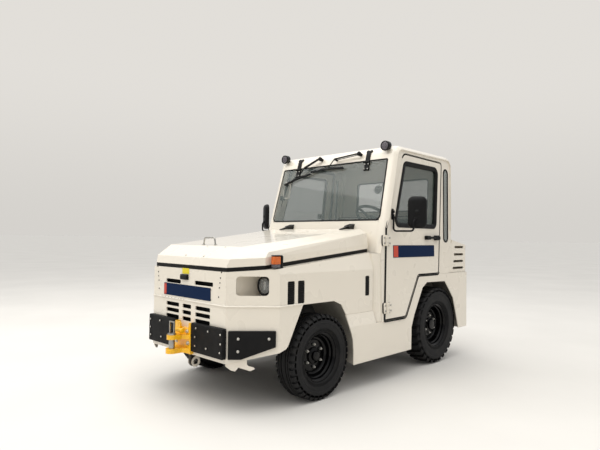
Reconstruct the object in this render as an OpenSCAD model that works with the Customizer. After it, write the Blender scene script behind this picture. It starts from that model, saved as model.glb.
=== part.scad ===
// Airport baggage tug with a closed cab, a front and a rear drawbar coupling
// Millimetres. +X is the driving direction, +Y the driver's side, +Z up, tyres on Z = 0.
// Every X station is measured from the front axle; place() shifts the tug so that it is centred.

/* [Wheels] */
// Distance between the front and the rear axle
wheelbase = 1595; // [1580:5:1610]
// Distance between the middle planes of the two wheels of an axle
track = 1192; // [1186:2:1196]
// Outer diameter of a front tyre
front_tyre_d = 600; // [590:2:606]
// Width of a front tyre
front_tyre_w = 176; // [166:2:178]
// Outer diameter of a rear tyre
rear_tyre_d = 694; // [680:2:700]
// Width of a rear tyre
rear_tyre_w = 190; // [180:2:192]
// Outer diameter of the flange of a front rim
front_flange_d = 350; // [330:5:370]
// Outer diameter of the flange of a rear rim
rear_flange_d = 390; // [370:5:410]
// Depth of the wheel disc behind the outer edge of a front rim
front_dish = 74; // [68:1:78]
// Depth of the wheel disc behind the outer edge of a rear rim
rear_dish = 92; // [86:1:96]
// Diameter of the circle of wheel nuts
nut_circle_d = 160; // [150:5:170]

// Number of shoulder grooves on each side of a front tyre
front_grooves = 38; // [30:1:46]
// Number of shoulder grooves on each side of a rear tyre
rear_grooves = 29; // [22:1:34]
// Depth of the grooves of a front tyre
front_groove_t = 11; // [8:1:14]
// Depth of the grooves of a rear tyre
rear_groove_t = 18; // [12:1:22]

/* [Steering] */
// Distance of a king pin from the middle plane of its wheel
kingpin_offset = 92; // [88:1:96]
// Diameter of a king pin
kingpin_d = 34; // [28:1:38]
// Diameter of a wheel spindle
spindle_d = 50; // [44:1:56]
// Diameter of the steering wheel
steering_wheel_d = 330; // [310:5:350]
// Tilt of the steering column from upright
column_tilt = 38; // [34:1:42]
// Running clearance on the radius of pins and spindles
pin_fit = 0.05; // [0.02:0.01:0.1]

/* [Body shell] */
// Distance from the front axle to the front panel
nose_x = 672; // [664:1:680]
// Half of the width of the flat front panel
nose_half = 443; // [435:1:450]
// Distance from the front axle to the rear end of a chamfered corner
corner_x = 413; // [405:1:420]
// Half of the width over the front fenders
fender_half = 676; // [672:1:680]
// Half of the width over the side skirts
skirt_half = 712; // [708:1:716]
// Thickness of the body plates
plate_t = 8; // [6:0.5:10]
// Height of the lower edge of the front panel
nose_bottom_z = 322; // [316:1:328]
// Height of the upper edge of the front panel
nose_top_z = 908; // [902:1:914]
// Rise of the hood seam for each millimetre to the rear
seam_rise = 0.094; // [0.09:0.001:0.098]
// Height at which a fender bends inwards
shoulder_z = 897; // [890:1:902]
// Height of the lower edge of the skirts
skirt_bottom_z = 198; // [190:2:210]
// Distance from the front axle back to the rear plate
tail_x = 2130; // [2120:5:2145]
// Height of the ledge behind the cab door
ledge_z = 822; // [818:1:826]
// Height of the rear deck at its front edge
deck_top_z = 1138; // [1130:1:1146]
// Fall of the rear deck from its front to its rear edge
deck_fall = 50; // [40:2:60]
// Height of the slots in the front panel
slot_h = 28; // [22:1:32]

/* [Hood] */
// Height of the seal between hood and fenders
seal_h = 27; // [22:1:30]
// Half of the width of the hood
hood_half = 600; // [592:1:604]
// Thickness of the hood panel
hood_t = 6; // [4:0.5:8]
// Diameter of the hood hinge pins
hood_pin_d = 12; // [10:1:14]

/* [Cab] */
// Height of the roof
roof_z = 1945; // [1938:1:1952]
// Lean of the windshield from upright
screen_lean = 14.7; // [14:0.1:15.5]
// Lean of the rear wall from upright
rear_lean = 1.9; // [1.6:0.1:2.2]
// Inward lean of the door sides
side_lean = 1.6; // [1.5:0.1:1.7]
// Half of the width over the doors at their sills
door_half = 720; // [716:1:722]
// Thickness of the doors and of the cab sides
door_t = 38; // [34:1:42]
// Gap round a door
door_gap = 7; // [6:0.5:8]
// Height of the round edge bead of the cab over its doors
bead_h = 12; // [9:1:14]
// Diameter of the round headlamps
headlamp_d = 132; // [124:2:146]
// Thickness of the glass
glass_t = 5; // [4:0.5:6]
// Diameter of the door hinge pins
door_pin_d = 12; // [10:1:14]

/* [Couplings] */
// Distance from the front axle to the tips of the front coupling
coupling_x = 826; // [820:1:830]
// Diameter of the coupling pins
coupling_pin_d = 42; // [36:1:46]
// Clear height between the lugs of a coupling
jaw_h = 62; // [58:1:66]
// Height of the upper face of the lower lug
jaw_z = 369; // [364:1:374]
// Distance that the rear coupling stands behind the rear plate
rear_reach = 150; // [140:1:160]
// Diameter of the hole in the tow eye
tow_eye_d = 36; // [30:1:38]

/* [Hidden] */
$fn = 48;

// Gap between pieces that sit on each other
seat_gap = 0.3;
// How far a cutting shape runs past what it cuts
over = 20;
// Larger than any piece, for cutting planes
huge = 3000;

front_r = front_tyre_d / 2;
rear_r = rear_tyre_d / 2;
wheel_y = track / 2;
rear_axle_x = -wheelbase;
shift_x = (tail_x + rear_reach - coupling_x) / 2;

// Rake plane of the hood seam: the fenders end at it, the seal and the hood stand on it
function seam_z(x) = nose_top_z + seam_rise * (nose_x - x);

// Windshield plane: X of its outer face at height z
screen_foot = [-731, 1291];
function screen_x(z) = screen_foot[0] - (z - screen_foot[1]) * tan(screen_lean);

// Outer face of the cab rear wall at height z
rear_foot = [-1831, ledge_z];
function rear_x(z) = rear_foot[0] - (z - rear_foot[1]) * tan(rear_lean);

// Outer face of a door at height z
sill_z = 490;
function side_y(z) = door_half - (z - sill_z) * tan(side_lean);

module place() {
    translate([shift_x, 0, 0]) children();
}

module both_sides() {
    children();
    mirror([0, 1, 0]) children();
}

// Extrudes an outline drawn in X and Z between two Y planes
module slab_y(y0, y1) {
    translate([0, y1, 0]) rotate([90, 0, 0]) linear_extrude(height = y1 - y0) children();
}

// Extrudes an outline drawn in Y and Z between two X planes
module slab_x(x0, x1) {
    translate([x0, 0, 0]) rotate([90, 0, 90]) linear_extrude(height = x1 - x0) children();
}

// Rectangle with round corners about its own middle
module round_rect(w, h, r) {
    square([w - 2 * r, h], center = true);
    square([w, h - 2 * r], center = true);
    for (x = [-1, 1], y = [-1, 1]) translate([x * (w / 2 - r), y * (h / 2 - r)]) circle(r);
}

// Points of an arc from angle a0 to angle a1
function arc(c, r, a0, a1, n) = [
    for (i = [0:n]) let(a = a0 + (a1 - a0) * i / n) c + r * [cos(a), sin(a)]
];

// Outline with round corners: one radius for each corner
function unit(v) = v / norm(v);
function corner_points(a, b, c, r, n) = let(
    u = unit(a - b),
    v = unit(c - b),
    half = acos(u * v) / 2,
    middle = b + unit(u + v) * r / sin(half),
    from = b + u * r / tan(half) - middle,
    to = b + v * r / tan(half) - middle,
    a0 = atan2(from[1], from[0]),
    swing = atan2(from[0] * to[1] - from[1] * to[0], from * to)
) [for (i = [0:n]) middle + r * [cos(a0 + swing * i / n), sin(a0 + swing * i / n)]];
function rounded(p, radii, n) = [
    for (i = [0:len(p) - 1]) each radii[i] > 0
        ? corner_points(p[(i + len(p) - 1) % len(p)], p[i], p[(i + 1) % len(p)], radii[i], n)
        : [p[i]]
];

// Flat bar between two points of the local XY plane
module flat_bar(a, b, w, t) {
    step = b - a;
    translate([a[0], a[1], 0]) rotate([0, 0, atan2(step[1], step[0])]) translate([0, -w / 2, 0])
        cube([norm(step), w, t]);
}

// Thin round bar along a path in the local XY plane, with ball corners
module wire_path(p, r) {
    for (i = [0:len(p) - 2]) {
        step = p[i + 1] - p[i];
        translate([p[i][0], p[i][1], 0]) rotate([0, 90, atan2(step[1], step[0])])
            cylinder(r = r, h = norm(step));
    }
    for (i = [1:len(p) - 2]) translate([p[i][0], p[i][1], 0]) sphere(r = r);
}

// Square bar bent to a hoop: local X across, local Y up, feet at local Y = 0
module hoop(foot_half, top_half, h, w) {
    translate([0, 0, -w / 2]) linear_extrude(height = w) difference() {
        polygon([[-foot_half - w, 0], [-top_half - w, h], [top_half + w, h], [foot_half + w, 0]]);
        polygon([[-foot_half, -1], [-top_half, h - w], [top_half, h - w], [foot_half, -1]]);
    }
}

// Convex solid on a list of corners
module solid_on(corners) {
    hull() polyhedron(points = corners, faces = [[for (i = [0:len(corners) - 1]) i]]);
}

// Frame of a cab side: local X forward, local Y up the leaning side, local Z outwards.
// Local Z = 0 is the outer face of the door and local Y = 0 is the sill.
module on_side() {
    translate([0, door_half, sill_z]) rotate([90 + side_lean, 0, 0]) mirror([0, 0, 1]) children();
}
function up_side(z) = (z - sill_z) / cos(side_lean);
function side_points(list) = [for (p = list) [p[0], up_side(p[1])]];

// Chassis

rail_y = [220, 290];
rail_z = [404, 476];
rail_front = nose_x - plate_t - seat_gap;
rail_rear = -tail_x + plate_t + seat_gap;
cross_x = [560, 270, -420, -1040, -1990];
cross_w = 60;
tow_eye = [600, 254];
eye_r = tow_eye_d / 2 + 20;
eye_t = 20;

module chassis_frame() {
    color("dimgray") place() {
        both_sides() translate([rail_rear, rail_y[0], rail_z[0]])
            cube([rail_front - rail_rear, rail_y[1] - rail_y[0], rail_z[1] - rail_z[0]]);
        for (x = cross_x) translate([x - cross_w / 2, -rail_y[0] + seat_gap, rail_z[0] + 6])
            cube([cross_w, 2 * (rail_y[0] - seat_gap), rail_z[1] - rail_z[0] - 12]);
        // Tow eye under the front crossmember
        difference() {
            slab_y(-eye_t / 2, eye_t / 2) {
                translate(tow_eye) circle(eye_r);
                translate([cross_x[0] - cross_w / 2, tow_eye[1]])
                    square([tow_eye[0] + eye_r - cross_x[0] + cross_w / 2, rail_z[0] + 14 - tow_eye[1]]);
            }
            slab_y(-eye_t, eye_t) translate(tow_eye) circle(d = tow_eye_d);
        }
    }
}

// Front body

// Front arch, seen from the side, from its front foot over the top to its rear foot
front_arch = [
    [332, 426], [195, 684], [-128, 684], [-212, 650], [-264, 575], [-328, 476], [-342, 372],
    [-342, skirt_bottom_z]
];
fender_rear_x = -600;
crease_z = 570;

module nose_plan(inset) {
    offset(delta = -inset)
        polygon([
            [nose_x, -nose_half], [nose_x, nose_half], [corner_x, fender_half],
            [fender_rear_x - inset, fender_half], [fender_rear_x - inset, -fender_half],
            [corner_x, -fender_half]
        ]);
}

// Cross section of the front body with its inward shoulders
shoulder_slope = 0.29;
module nose_section(inset) {
    top = 1100;
    half = fender_half - inset;
    top_half = half - (top - shoulder_z) * shoulder_slope;
    polygon([
        [-half, 0], [half, 0], [half, shoulder_z], [top_half, top], [-top_half, top], [-half, shoulder_z]
    ]);
}

// Side outline of the front body under the rake plane
nose_side = concat(
    [[nose_x + over, seam_z(nose_x + over)], [nose_x + over, nose_bottom_z], [nose_x - 14, nose_bottom_z]],
    [[352, 407]],
    [for (i = [0:4]) front_arch[i]],
    [[-268, crease_z], [fender_rear_x, crease_z], [fender_rear_x, seam_z(fender_rear_x)]]
);

module nose_solid() {
    intersection() {
        linear_extrude(height = huge) nose_plan(0);
        slab_x(-huge, huge) nose_section(0);
        slab_y(-huge, huge) polygon(nose_side);
    }
}

module nose_hollow() {
    far = 1000;
    intersection() {
        linear_extrude(height = huge) nose_plan(plate_t);
        slab_x(-huge, huge) nose_section(plate_t);
        slab_y(-huge, huge)
            polygon([[far, 0], [far, seam_z(far) - plate_t], [-far, seam_z(-far) - plate_t], [-far, 0]]);
    }
}

// Chamfered corner: local X runs along it from the front panel to the fender, local Y up,
// local Z outwards
chamfer = [corner_x - nose_x, fender_half - nose_half];
chamfer_len = norm(chamfer);
module on_chamfer() {
    translate([nose_x, nose_half, 0]) rotate([0, 0, atan2(chamfer[1], chamfer[0])])
        rotate([90, 0, 0]) children();
}

// Headlamp opening along the chamfer: middle, size and corner radius
lamp_hole = [171, 820];
lamp_hole_size = [212, 124];
lamp_hole_r = 24;
// Round lamp that faces forward in the recess: its front, its middle across and its middle height
lamp_front_x = 442;
lamp_mid = [556, 816];
lamp_depth = 38;
lamp_wall_x = lamp_front_x - lamp_depth - seat_gap;
tub_t = 4;
tub_z = [lamp_mid[1] - headlamp_d / 2 - 3, lamp_mid[1] + headlamp_d / 2 + 3];
function on_chamfer_plan(along, depth) = [
    nose_x + (chamfer[0] * along - chamfer[1] * depth) / chamfer_len,
    nose_half + (chamfer[1] * along + chamfer[0] * depth) / chamfer_len
];
function tub_plan(depth) = [
    on_chamfer_plan(58, depth), on_chamfer_plan(58, 52), [lamp_wall_x, 468], [lamp_wall_x, 644],
    on_chamfer_plan(326, depth)
];

// White bracket under a front corner, as [along the chamfer, height]
corner_bracket = [
    [4, 340], [142, 372], [142, 318], [150, 309], [184, 300], [194, 289], [163, 275], [88, 298],
    [67, 273], [40, 280], [4, 306]
];

// Bead along the fold of the front panels
belt_z = [685, 691];
belt_out = 4;
belt_rear_x = 202;

// Slots of the front panel as [y0, y1, z middle]
upper_slots = [[-272, -80, 812], [92, 304, 818]];
lower_slot_y = [[-264, -97], [-52, 54], [106, 277]];
lower_slot_z = [646, 602, 558];
front_slots = concat(upper_slots, [for (s = lower_slot_y, z = lower_slot_z) [s[0], s[1], z]]);

module front_slot_cuts() {
    for (s = front_slots)
        slab_x(nose_x - over, nose_x + over)
            translate([(s[0] + s[1]) / 2, s[2]]) round_rect(s[1] - s[0], slot_h, 8);
}

// Side vents as [x front, x rear], and their heights
vent_x = [[344, 278], [247, 183], [-500, -552]];
vent_z = [694, 848];
module vent_outline(v, inset) {
    translate([(v[0] + v[1]) / 2, (vent_z[0] + vent_z[1]) / 2])
        round_rect(v[0] - v[1] - 2 * inset, vent_z[1] - vent_z[0] - 2 * inset, 9 - inset);
}

// Plan outline of the hood
hood_front_x = nose_x - 8;
hood_front_half = nose_half - 11;
hood_corner_x = hood_front_x
    - (hood_half - hood_front_half) * (nose_x - corner_x) / (fender_half - nose_half);
hood_rear_x = -628;
module hood_plan(inset) {
    offset(delta = -inset)
        polygon([
            [hood_front_x, -hood_front_half], [hood_front_x, hood_front_half], [hood_corner_x, hood_half],
            [hood_rear_x, hood_half], [hood_rear_x, -hood_half], [hood_corner_x, -hood_half]
        ]);
}
flange_w = 26;

module front_shell() {
    color("ivory") place() {
        difference() {
            union() {
                nose_solid();
                intersection() {
                    translate([belt_rear_x, -huge / 2, belt_z[0]]) cube([huge, huge, belt_z[1] - belt_z[0]]);
                    linear_extrude(height = huge) nose_plan(-belt_out);
                }
            }
            nose_hollow();
            linear_extrude(height = huge) hood_plan(flange_w);
            translate([-over - flange_w, 0, 0]) linear_extrude(height = huge) hood_plan(flange_w);
            both_sides() on_chamfer() translate([lamp_hole[0], lamp_hole[1], -over])
                linear_extrude(height = 2 * over)
                    round_rect(lamp_hole_size[0], lamp_hole_size[1], lamp_hole_r);
            front_slot_cuts();
            both_sides() for (v = vent_x) slab_y(fender_half - over, fender_half + over) vent_outline(v, 0);
        }
        // Lamp recesses behind the openings
        both_sides() difference() {
            translate([0, 0, tub_z[0] - tub_t]) linear_extrude(height = tub_z[1] - tub_z[0] + 2 * tub_t)
                offset(delta = tub_t) polygon(tub_plan(plate_t + tub_t - 1));
            translate([0, 0, tub_z[0]]) linear_extrude(height = tub_z[1] - tub_z[0])
                polygon(tub_plan(plate_t - 3));
        }
        both_sides() on_chamfer() translate([0, 0, -plate_t - 5]) linear_extrude(height = 6)
            polygon(corner_bracket);
    }
}

// Lower body: skirts, rear sides and rear plate

rear_arch = [
    [-1110, 198], [-1113, 386], [-1156, 487], [-1290, 712], [-1364, 756], [-1690, 750],
    [-1752, 688], [-1854, 582], [-1906, 443], [-1961, 283]
];
tail_bottom_z = 283;
step_x = [-1005, -1215];
body_top_z = sill_z - 10;
lower_side = concat(
    [[-342, skirt_bottom_z], [-342, 372], [-328, 476], [-326, body_top_z], [step_x[0] - 8, body_top_z]],
    [[step_x[1] - 6, ledge_z], [-tail_x, ledge_z], [-tail_x, tail_bottom_z]],
    [for (i = [9:-1:0]) rear_arch[i]]
);

module lower_body() {
    color("ivory") place() {
        both_sides() slab_y(skirt_half - plate_t, skirt_half) polygon(lower_side);
        // Sloped strip from the skirt up to the fender crease
        both_sides() solid_on([
            [-326, skirt_half - plate_t, body_top_z], [-326, skirt_half, body_top_z],
            [fender_rear_x, skirt_half - plate_t, body_top_z], [fender_rear_x, skirt_half, body_top_z],
            [-268, fender_half - plate_t, crease_z - seat_gap],
            [-268, fender_half + 4, crease_z - seat_gap],
            [fender_rear_x, fender_half - plate_t, crease_z - seat_gap],
            [fender_rear_x, fender_half + 4, crease_z - seat_gap]
        ]);
        translate([-tail_x, -skirt_half, tail_bottom_z])
            cube([plate_t, 2 * skirt_half, ledge_z - tail_bottom_z]);
    }
}

// Liners of the wheel arches: bent sheets, at the rear with an inner cheek
liner_t = 4;
front_liner_y = 350;
rear_liner_y = 486;
front_liner = concat([[332, skirt_bottom_z]], front_arch);
rear_liner = [
    [-1110, 198], [-1113, 386], [-1156, 487], [-1290, 712], [-1364, 756], [-1690, 756],
    [-1850, 700], [-1962, 560], [-1996, 400], [-1996, 198]
];
cheek_z = 510;
module arch_band(points, gap) {
    difference() {
        offset(delta = gap + liner_t) polygon(points);
        offset(delta = gap) polygon(points);
        translate([-huge, points[0][1] - huge]) square([2 * huge, huge + 1]);
    }
}
module wheel_liners() {
    color("dimgray") place() both_sides() {
        slab_y(front_liner_y, fender_half - plate_t - seat_gap) difference() {
            arch_band(front_liner, 8);
            translate([0, -huge]) square([huge, huge + 426]);
        }
        // Rear foot of the front liner, out to the skirt
        slab_y(fender_half - plate_t - 1, skirt_half - plate_t - seat_gap) intersection() {
            arch_band(front_liner, 8);
            translate([-2 * huge, 0]) square([2 * huge, body_top_z - 30]);
        }
        slab_y(rear_liner_y, skirt_half - plate_t - seat_gap) difference() {
            arch_band(rear_liner, 6);
            translate([-1500 - huge, 0]) square([huge, tail_bottom_z]);
        }
        slab_y(rear_liner_y - liner_t, rear_liner_y) intersection() {
            offset(delta = 6 + liner_t) polygon(rear_liner);
            translate([-2 * huge, cheek_z]) square([2 * huge, huge]);
        }
    }
}

// Rear deck: a box with a sloped top and slotted sides behind the cab
deck_half = skirt_half - 14;
deck_seam = [[-1770, ledge_z], [rear_x(1105) - 3, 1105]];
deck_front_x = rear_x(deck_top_z) - 3;
// Slots as [front end, height]
deck_slots = [[-1905, 1067], [-1893, 996], [-1881, 930], [-1868, 865]];
deck_slot_rear_x = -2085;
module rear_deck() {
    color("ivory") place() difference() {
        slab_y(-deck_half, deck_half)
            polygon([
                deck_seam[0] + [-3, seat_gap], deck_seam[1], [deck_front_x, deck_top_z],
                [-tail_x, deck_top_z - deck_fall], [-tail_x, ledge_z + seat_gap]
            ]);
        slab_y(-deck_half + plate_t, deck_half - plate_t)
            polygon([
                deck_seam[0] - [3 + plate_t, huge], deck_seam[0] - [3 + plate_t, 0],
                deck_seam[1] - [plate_t, 0], [deck_front_x - plate_t, deck_top_z - plate_t],
                [-tail_x + plate_t, deck_top_z - deck_fall - plate_t], [-tail_x + plate_t, -huge]
            ]);
        for (slot = deck_slots)
            slab_y(-huge, huge) translate([(slot[0] + deck_slot_rear_x) / 2, slot[1]])
                round_rect(slot[0] - deck_slot_rear_x, 22, 8);
    }
}

// Cab

door_outline = rounded([
    [-706, sill_z], [step_x[0], sill_z], [step_x[1], 830], [-1564, 830],
    [-1656, 1853], [-1014, 1862], [-746, 1216]
], [6, 40, 40, 14, 24, 60, 60], 4);
// The cab sides lean over the skirts, so their foot needs this much clearance at the outer face
foot_gap = seat_gap + (door_half - skirt_half + plate_t) * tan(side_lean);
cab_base_z = body_top_z + foot_gap;
// Edge of the cab, with round roof corners
edge_z = roof_z - 8;
roof_corner_r = 110;
corner_z = edge_z - roof_corner_r;
front_corner = [screen_x(corner_z) - roof_corner_r / cos(screen_lean), corner_z];
rear_corner = [rear_x(corner_z) + roof_corner_r / cos(rear_lean), corner_z];
arc_steps = 8;
cab_profile = concat(
    [[screen_x(1025), 1025]],
    arc(front_corner, roof_corner_r, screen_lean, 90, arc_steps),
    arc(rear_corner, roof_corner_r, 90, 180 + rear_lean, arc_steps),
    [[rear_x(1105), 1105], deck_seam[0] + [1, seat_gap]]
);
frame_foot = [
    [-662, cab_base_z], [step_x[0] - 8, cab_base_z], [step_x[1] - 6, ledge_z + foot_gap],
    deck_seam[0] + [5, seat_gap], [rear_x(1105) + 4, 1105], [screen_x(1100) - 4, 1100],
    [screen_x(1025) - 4, 1025], [-662, 1025]
];
quarter_mid = [-1727, 1461];
quarter_size = [64, 668];
module quarter_outline(inset) {
    translate([quarter_mid[0], up_side(quarter_mid[1])]) rotate(rear_lean)
        round_rect(
            quarter_size[0] - 2 * inset, quarter_size[1] - 2 * inset, quarter_size[0] / 2 - inset - 1
        );
}

// Soft edge of the cab side in depth steps: inset of the outline and height over the door
bead_w = 44;
bead_end_z = 1225;
bead_depth = 66;
bead_steps = [[0, -46], [3, -30], [10, -14], [22, 0], [38, bead_h]];
module cab_edge() {
    hull() for (s = bead_steps) translate([0, 0, -bead_depth]) linear_extrude(height = bead_depth + s[1])
        offset(delta = -s[0]) polygon(side_points(cab_profile));
}

// Everything outside of the inner planes of the two cab sides
module beyond_sides(gap) {
    both_sides() on_side() translate([-huge, -huge, -bead_depth - gap]) cube([2 * huge, 2 * huge, huge]);
}

// Rear wall: local X across, local Y up, outer face at local Z = 0
module on_rear() {
    translate([rear_foot[0], 0, rear_foot[1]]) rotate([0, -rear_lean, 0]) rotate([90, 0, 90])
        mirror([0, 0, 1]) children();
}
rear_wall_t = 30;
rear_top_z = 1827;
rear_window = [0, 764];
rear_window_size = [900, 330];
rear_wall = [
    [rear_x(rear_top_z), rear_top_z], [rear_x(1105), 1105], deck_seam[0] + [1, seat_gap],
    deck_seam[0] + [1 + rear_wall_t, seat_gap], [rear_x(1105) + rear_wall_t, 1105],
    [rear_x(rear_top_z) + rear_wall_t, rear_top_z]
];

// Post between the fender and the cab side: its outline in plan, from the fender to the door
post_in = 22;
post_plan = [[0, -post_in], [-1, -3], [-8, 9], [-20, 22], [-36, 31], [-62, 38]];
post_top_z = 1022;
module post() {
    solid_on([
        for (z = [cab_base_z, post_top_z], p = post_plan)
            [fender_rear_x - seat_gap + p[0], fender_half + p[1] - (z - cab_base_z) * tan(side_lean), z],
        for (z = [cab_base_z, post_top_z]) [-662.5, fender_half - post_in, z]
    ]);
}

module cab_frame() {
    color("ivory") place() {
        both_sides() on_side() difference() {
            union() {
                cab_edge();
                translate([0, 0, -door_t]) linear_extrude(height = door_t) polygon(side_points(frame_foot));
            }
            linear_extrude(height = huge) offset(delta = -bead_w) polygon(side_points(cab_profile));
            translate([-huge, -huge, 0]) cube([2 * huge, huge + up_side(bead_end_z), huge]);
            translate([0, 0, -huge]) linear_extrude(height = huge - door_t)
                offset(delta = -bead_w - 10) polygon(side_points(cab_profile));
            translate([0, 0, -huge / 2]) linear_extrude(height = huge)
                offset(delta = door_gap) polygon(side_points(door_outline));
            translate([0, 0, -huge / 2]) linear_extrude(height = huge) quarter_outline(0);
        }
        both_sides() post();
        difference() {
            slab_y(-huge / 2, huge / 2) polygon(rear_wall);
            beyond_sides(-1);
            on_rear() translate([rear_window[0], rear_window[1], -rear_wall_t - over])
                linear_extrude(height = rear_wall_t + 2 * over)
                    round_rect(rear_window_size[0], rear_window_size[1], 40);
        }
    }
}

cowl_t = 12;
firewall_x = -661;
module cab_cowl() {
    color("ivory") place() difference() {
        slab_y(-660, 660)
            polygon([
                [firewall_x, 500], [firewall_x, 1025], [screen_x(1287), 1287],
                [screen_x(1287) - cowl_t, 1287], [firewall_x - cowl_t, 1025], [firewall_x - cowl_t, 500]
            ]);
        beyond_sides(seat_gap);
    }
}

roof_bottom_z = 1818;
roof_frame_t = 24;
module cab_roof() {
    color("ivory") place() {
        difference() {
            slab_y(-680, 680) difference() {
                polygon(cab_profile);
                offset(delta = -roof_frame_t) polygon(cab_profile);
                translate([-huge, 0]) square([2 * huge, roof_bottom_z]);
            }
            // The rear wall closes the back
            translate([-huge + rear_x(rear_top_z) + rear_wall_t + 10, -huge, 0])
                cube([huge, 2 * huge, rear_top_z + seat_gap]);
            beyond_sides(seat_gap);
        }
        // Crown of the roof
        slab_y(-560, 560) polygon([
            [front_corner[0] - 10, edge_z - 4], [front_corner[0] - 50, roof_z],
            [rear_corner[0] + 50, roof_z], [rear_corner[0] + 10, edge_z - 4]
        ]);
    }
}

floor_t = 10;
riser_z = 772;
riser_x = step_x[1] - 30;
floor_rear_x = -1094;
module cab_floor() {
    front = firewall_x - cowl_t - seat_gap;
    half = side_y(ledge_z) - door_t - 8;
    narrow = rear_liner_y - liner_t - 2;
    color("gray") place() {
        translate([floor_rear_x, -half, sill_z + 1]) cube([front - floor_rear_x, 2 * half, floor_t]);
        translate([riser_x, -narrow, sill_z + 1]) cube([floor_rear_x - riser_x + 1, 2 * narrow, floor_t]);
        translate([riser_x, -narrow, sill_z + 1]) cube([12, 2 * narrow, riser_z - sill_z]);
        translate([rear_x(riser_z) + rear_wall_t + 70, -half, riser_z])
            cube([riser_x + 12 - rear_x(riser_z) - rear_wall_t - 70, 2 * half, floor_t]);
    }
}

// Glass

module on_screen() {
    translate([screen_foot[0], 0, screen_foot[1]]) rotate([0, -screen_lean, 0])
        rotate([90, 0, 90]) children();
}
screen_h = (1812 - 1293) / cos(screen_lean);
module cab_glasses() {
    color("lightblue") place() {
        difference() {
            on_screen() translate([0, 2 + screen_h / 2, -glass_t]) linear_extrude(height = glass_t)
                round_rect(1284, screen_h, 40);
            beyond_sides(2);
        }
        both_sides() on_side() translate([0, 0, -door_t / 2]) linear_extrude(height = glass_t)
            quarter_outline(seat_gap);
        on_rear() translate([rear_window[0], rear_window[1], -rear_wall_t / 2])
            linear_extrude(height = glass_t)
                round_rect(rear_window_size[0] - 2 * seat_gap, rear_window_size[1] - 2 * seat_gap, 40);
    }
}

glass_hinge_y = 415;
hinge_wrap = 9;
wiper_pivots = [[-145, 590], [308, 590]];
wiper_tips = [[-370, 516], [37, 574]];
module windshield_fittings() {
    color("black") place() {
        glass_hinges();
        wipers();
    }
}

// Hinges that hold the glass: a pad on the glass and a leaf that bends round the roof edge
hinge_leaf_z = [1790, 1906];
module glass_hinges() {
    both_sides() {
        on_screen() translate([glass_hinge_y - 30, 444, seat_gap]) cube([60, 84, 10]);
        slab_y(glass_hinge_y - 30, glass_hinge_y + 30) difference() {
            offset(delta = hinge_wrap) polygon(cab_profile);
            offset(delta = seat_gap) polygon(cab_profile);
            translate([-huge, hinge_leaf_z[0] - huge]) square([2 * huge, huge]);
            translate([-huge, hinge_leaf_z[1]]) square([2 * huge, huge]);
            translate([front_corner[0] - huge, 0]) square([huge, 2 * huge]);
        }
    }
}

module wipers() {
    difference() {
        on_screen() for (p = wiper_pivots) translate([p[0], p[1], -30]) cylinder(r = 16, h = 62);
        slab_y(-huge, huge) offset(delta = seat_gap) polygon(cab_profile);
    }
    on_screen() for (k = [0, 1]) {
        translate([0, 0, 26]) flat_bar(wiper_pivots[k], wiper_tips[k], 14, 8);
        translate([wiper_tips[k][0], wiper_tips[k][1], 8]) rotate([0, 0, k == 0 ? 14 : 3])
            translate([-190, -7, 0]) cube([380, 14, 26]);
    }
}

lamp_out = 30;
work_lamp_y = 604;
work_lamp_r = 38;
module roof_lamps() {
    facet = screen_lean + (90 - screen_lean) * 3.5 / arc_steps;
    reach = roof_corner_r * cos((90 - screen_lean) / 2 / arc_steps) + seat_gap;
    color("black") place() both_sides() translate([front_corner[0], work_lamp_y, front_corner[1]]) {
        rotate([0, -facet, 0]) translate([reach, -8, -14]) cube([lamp_out, 16, 28]);
        translate([(reach + lamp_out) * cos(facet) - 2, 0, (reach + lamp_out) * sin(facet) - 4])
            rotate([0, 90, 0]) cylinder(r = work_lamp_r, h = 46);
    }
}

// Doors

window_outline = rounded([[-1028, 1791], [-1577, 1791], [-1527, 1250], [-864, 1250]], [46, 50, 46, 50], 5);
hinge_z = [585, 1124];
hinge_x = -720;
hinge_out = 13;
hinge_h = 84;
module door_panel() {
    on_side() difference() {
        translate([0, 0, -door_t]) linear_extrude(height = door_t) polygon(side_points(door_outline));
        translate([0, 0, -door_t - 1]) linear_extrude(height = door_t + 2)
            polygon(side_points(window_outline));
    }
    on_side() for (z = hinge_z) translate([hinge_x, up_side(z), hinge_out]) {
        difference() {
            union() {
                rotate([90, 0, 0]) cylinder(r = 11, h = hinge_h / 3 - 1, center = true);
                translate([-52, -hinge_h / 6 + 0.5, -hinge_out + seat_gap]) cube([52, hinge_h / 3 - 1, 10]);
                translate([-52, -hinge_h / 2, -hinge_out - 1]) cube([30, hinge_h, 11]);
            }
            rotate([90, 0, 0]) cylinder(r = door_pin_d / 2 + pin_fit, h = hinge_h, center = true);
        }
    }
}

module door_left() {
    color("ivory") place() door_panel();
}

module door_right() {
    color("ivory") place() mirror([0, 1, 0]) door_panel();
}

module door_glass() {
    on_side() translate([0, 0, -door_t / 2]) linear_extrude(height = glass_t)
        offset(delta = -seat_gap) polygon(side_points(window_outline));
}

module door_glass_left() {
    color("lightblue") place() door_glass();
}

module door_glass_right() {
    color("lightblue") place() mirror([0, 1, 0]) door_glass();
}

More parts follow.
